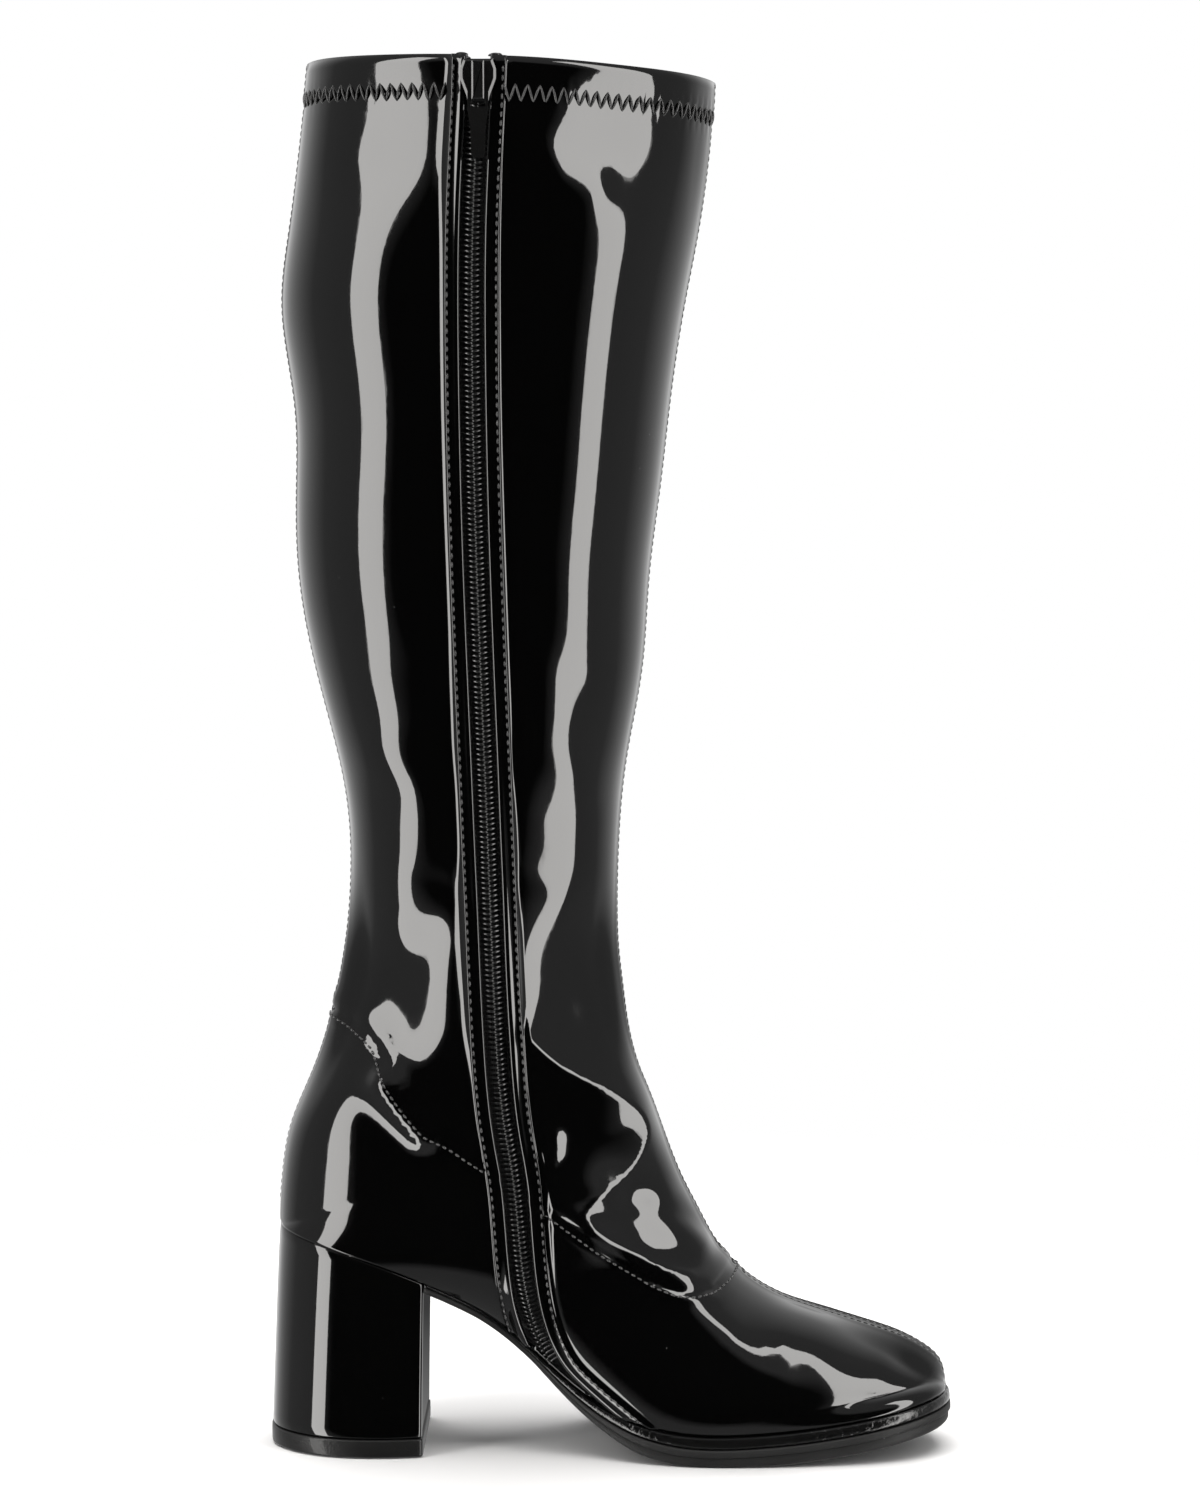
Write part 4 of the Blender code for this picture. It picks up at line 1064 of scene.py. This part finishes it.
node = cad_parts["zip_slider"]
slider_box = np.array([list(node.matrix_world @ mathutils.Vector(corner)) for corner in node.bound_box])
slider_middle = (slider_box.min(0) + slider_box.max(0)) / 2
slider_middle[1] = slider_box[:, 1].max() - SLIDER_PLATE
side = SLIDER_SIDE * (SLIDER_WIDTH / 2, -SLIDER_LENGTH) + (0, SLIDER_LENGTH / 2)
body_depths = [(0.0001, SLIDER_PLATE), (0, 0.0011), (0, 0.00048), (0.0008, 0.00002), (0.0009, 0)]
body = cut_plate(np.concatenate([side, side[::-1] * (-1, 1)]), body_depths, 0.0005)
top = -BRIDGE_ROOM - BRIDGE_BAR
bar_depths = [(0.0001, -BRIDGE_ROOM), (0, -BRIDGE_ROOM - 0.0001), (0, top + 0.00032),
              (0.00054, top + 0.00001), (0.0006, top)]
bar = cut_plate(box_outline(BRIDGE_WIDTH, -BRIDGE_LENGTH / 2, BRIDGE_LENGTH / 2), bar_depths, 0.00015)
reach = BRIDGE_LENGTH / 2 - 0.0002
leg_depths = [(0, 0.0006), (0, -0.0004), (0, -0.0012), (0, -BRIDGE_ROOM - 0.0002),
              (0.0001, -BRIDGE_ROOM - 0.0003)]
legs = [cut_plate(box_outline(BRIDGE_WIDTH - 0.0006, low, low + BRIDGE_LEG - 0.0002), leg_depths, 0.0001)
        for low in (-reach, reach - BRIDGE_LEG + 0.0002)]
shells = np.stack([body, bar, *legs]) + slider_middle
shell_size = body.shape[0] * body.shape[1]
shell_faces = [[corner + number * shell_size for corner in face]
               for number in range(len(shells)) for face in loft(body)]
slider = new_piece("slider_body", shells, shell_faces, [enamel], ["zip_slider"], weld=False)
slider.data.shade_flat()
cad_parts["zip_pull"].data.materials.clear()
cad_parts["zip_pull"].data.materials.append(enamel)

# %% [markdown]
# ## Light, floor and camera
# Patent shows its lights as shapes: what looks like paint on the boot is the outline of a softbox. Two
# tall ones stand left and right in front, the room over and behind the boot is bright, and the side of
# the camera is dark. Straight behind the boot is a dark doorway, which its outline mirrors, so that the
# edges stay black.


# %% Two tall softboxes, and a soft light over the floor
AWAY = 1.4


def panel(name, place, turn, width, tall, radiance):
    """Light panel facing along turn; its power is radiance times area times pi."""
    light = bpy.data.lights.new(name, "AREA")
    light.shape = "RECTANGLE"
    light.size, light.size_y = width, tall
    light.energy = radiance * width * tall * math.pi
    light.color = (1.0, 0.985, 0.965)
    lamp = bpy.data.objects.new(name, light)
    lamp.location, lamp.rotation_euler = place, turn
    lamp.visible_camera = False
    bpy.context.scene.collection.objects.link(lamp)
    return lamp


def softbox(name, first, last, low, high, radiance):
    """Upright panel AWAY from the boot, from one azimuth to another, in degrees from the camera's side."""
    middle = math.radians((first + last) / 2)
    width = 2 * AWAY * math.tan(math.radians(last - first) / 2)
    place = (0.05 + AWAY * math.sin(middle), -AWAY * math.cos(middle), (low + high) / 2)
    return panel(name, place, (math.pi / 2, 0, middle), width, high - low, radiance)


softbox("softbox_left", -63, -47, -1.6, 2.4, 4.8)
softbox("softbox_right", 50, 64, -1.6, 3.2, 4.8)
overhead = panel("overhead", (0.08, 0.2, 2.2), (0, 0, 0), 2.4, 2.4, 4.6)
overhead.visible_glossy = False

# %% Room: bright above and behind, dark on the camera's side
scene = bpy.context.scene
world = bpy.data.worlds.new("room")
scene.world = world
world.use_nodes = True
nodes, links = world.node_tree.nodes, world.node_tree.links
place = nodes.new("ShaderNodeTexCoord")
split = nodes.new("ShaderNodeSeparateXYZ")
links.new(place.outputs["Generated"], split.inputs[0])


def room_math(operation, first, second, clamp=False):
    """One Math node of the room; first and second are plain numbers or sockets."""
    made = nodes.new("ShaderNodeMath")
    made.operation = operation
    made.use_clamp = clamp
    for socket, value in zip(made.inputs, (first, second)):
        if isinstance(value, float):
            socket.default_value = value
        else:
            links.new(value, socket)
    return made.outputs[0]


sides = room_math("MULTIPLY", room_math("ADD", split.outputs[1], 0.74), 7.0, True)
sides = room_math("MULTIPLY", sides, 0.20)
behind = room_math("MULTIPLY", room_math("SUBTRACT", split.outputs[1], 0.1), 1.2, True)
behind = room_math("MULTIPLY", behind, 0.55)
door = room_math("MULTIPLY", room_math("SUBTRACT", 0.975, split.outputs[1]), 22.0, True)
bright = room_math("MULTIPLY", room_math("ADD", sides, behind), room_math("MAXIMUM", door, 0.06))
path = nodes.new("ShaderNodeLightPath")
strength = room_math("MAXIMUM", bright, path.outputs["Is Camera Ray"])
links.new(strength, nodes["Background"].inputs["Strength"])
nodes["Background"].inputs["Color"].default_value = (1, 1, 1, 1)

# %% Pale floor that fades into the white room
floor_mesh = bpy.data.meshes.new("floor")
turn = np.linspace(0, 2 * math.pi, 97)[:-1]
radii = np.linspace(0.0, 1.2, 25)[1:]
disc = np.stack([radii[:, None] * np.cos(turn), radii[:, None] * np.sin(turn), np.zeros((24, 96))], -1)
disc = np.concatenate([disc.reshape(-1, 3), [[0, 0, 0]]]) + [0.08, 0.0, -0.0002]
fan = np.stack([np.arange(96), (np.arange(96) + 1) % 96, np.full(96, 24 * 96)], 1)
floor_mesh.from_pydata(disc.tolist(), [], grid_faces(24, 96, True)[:, ::-1].tolist() + fan.tolist())
floor_piece = bpy.data.objects.new("floor", floor_mesh)
scene.collection.objects.link(floor_piece)
floor_piece.visible_glossy = False
paper = Finish("floor_paper", {"Base Color": (0.86, 0.86, 0.865, 1), "Roughness": 0.9})
place = paper.node("TexCoord", out=3)
centre = paper.node("VectorMath", {"operation": "SUBTRACT"}, {0: place, 1: (0.08, 0, 0)})
radius = paper.node("VectorMath", {"operation": "LENGTH"}, {0: centre}, out=1)
paper.paint("Alpha", 1 - radius.between(0.25, 0.60))
floor_mesh.materials.append(paper.material)

# %% Camera at the photograph's angle
SENSOR, DISTANCE, VIEW_HEIGHT = 36.0, 1.15, 0.507
CAMERA_X, CAMERA_HEIGHT, AIM_HEIGHT = 0.0865, 0.315, 0.2366
camera_data = bpy.data.cameras.new("camera")
camera_data.sensor_width = SENSOR
camera_data.lens = SENSOR * DISTANCE / VIEW_HEIGHT
camera = bpy.data.objects.new("camera", camera_data)
camera.location = (CAMERA_X, -DISTANCE, CAMERA_HEIGHT)
camera.rotation_euler = (math.pi / 2 - math.atan2(CAMERA_HEIGHT - AIM_HEIGHT, DISTANCE), 0, 0)
scene.collection.objects.link(camera)
scene.camera = camera
scene.view_settings.view_transform = "Standard"
print("camera looks down by", round(90 - math.degrees(camera.rotation_euler[0]), 2), "degrees")
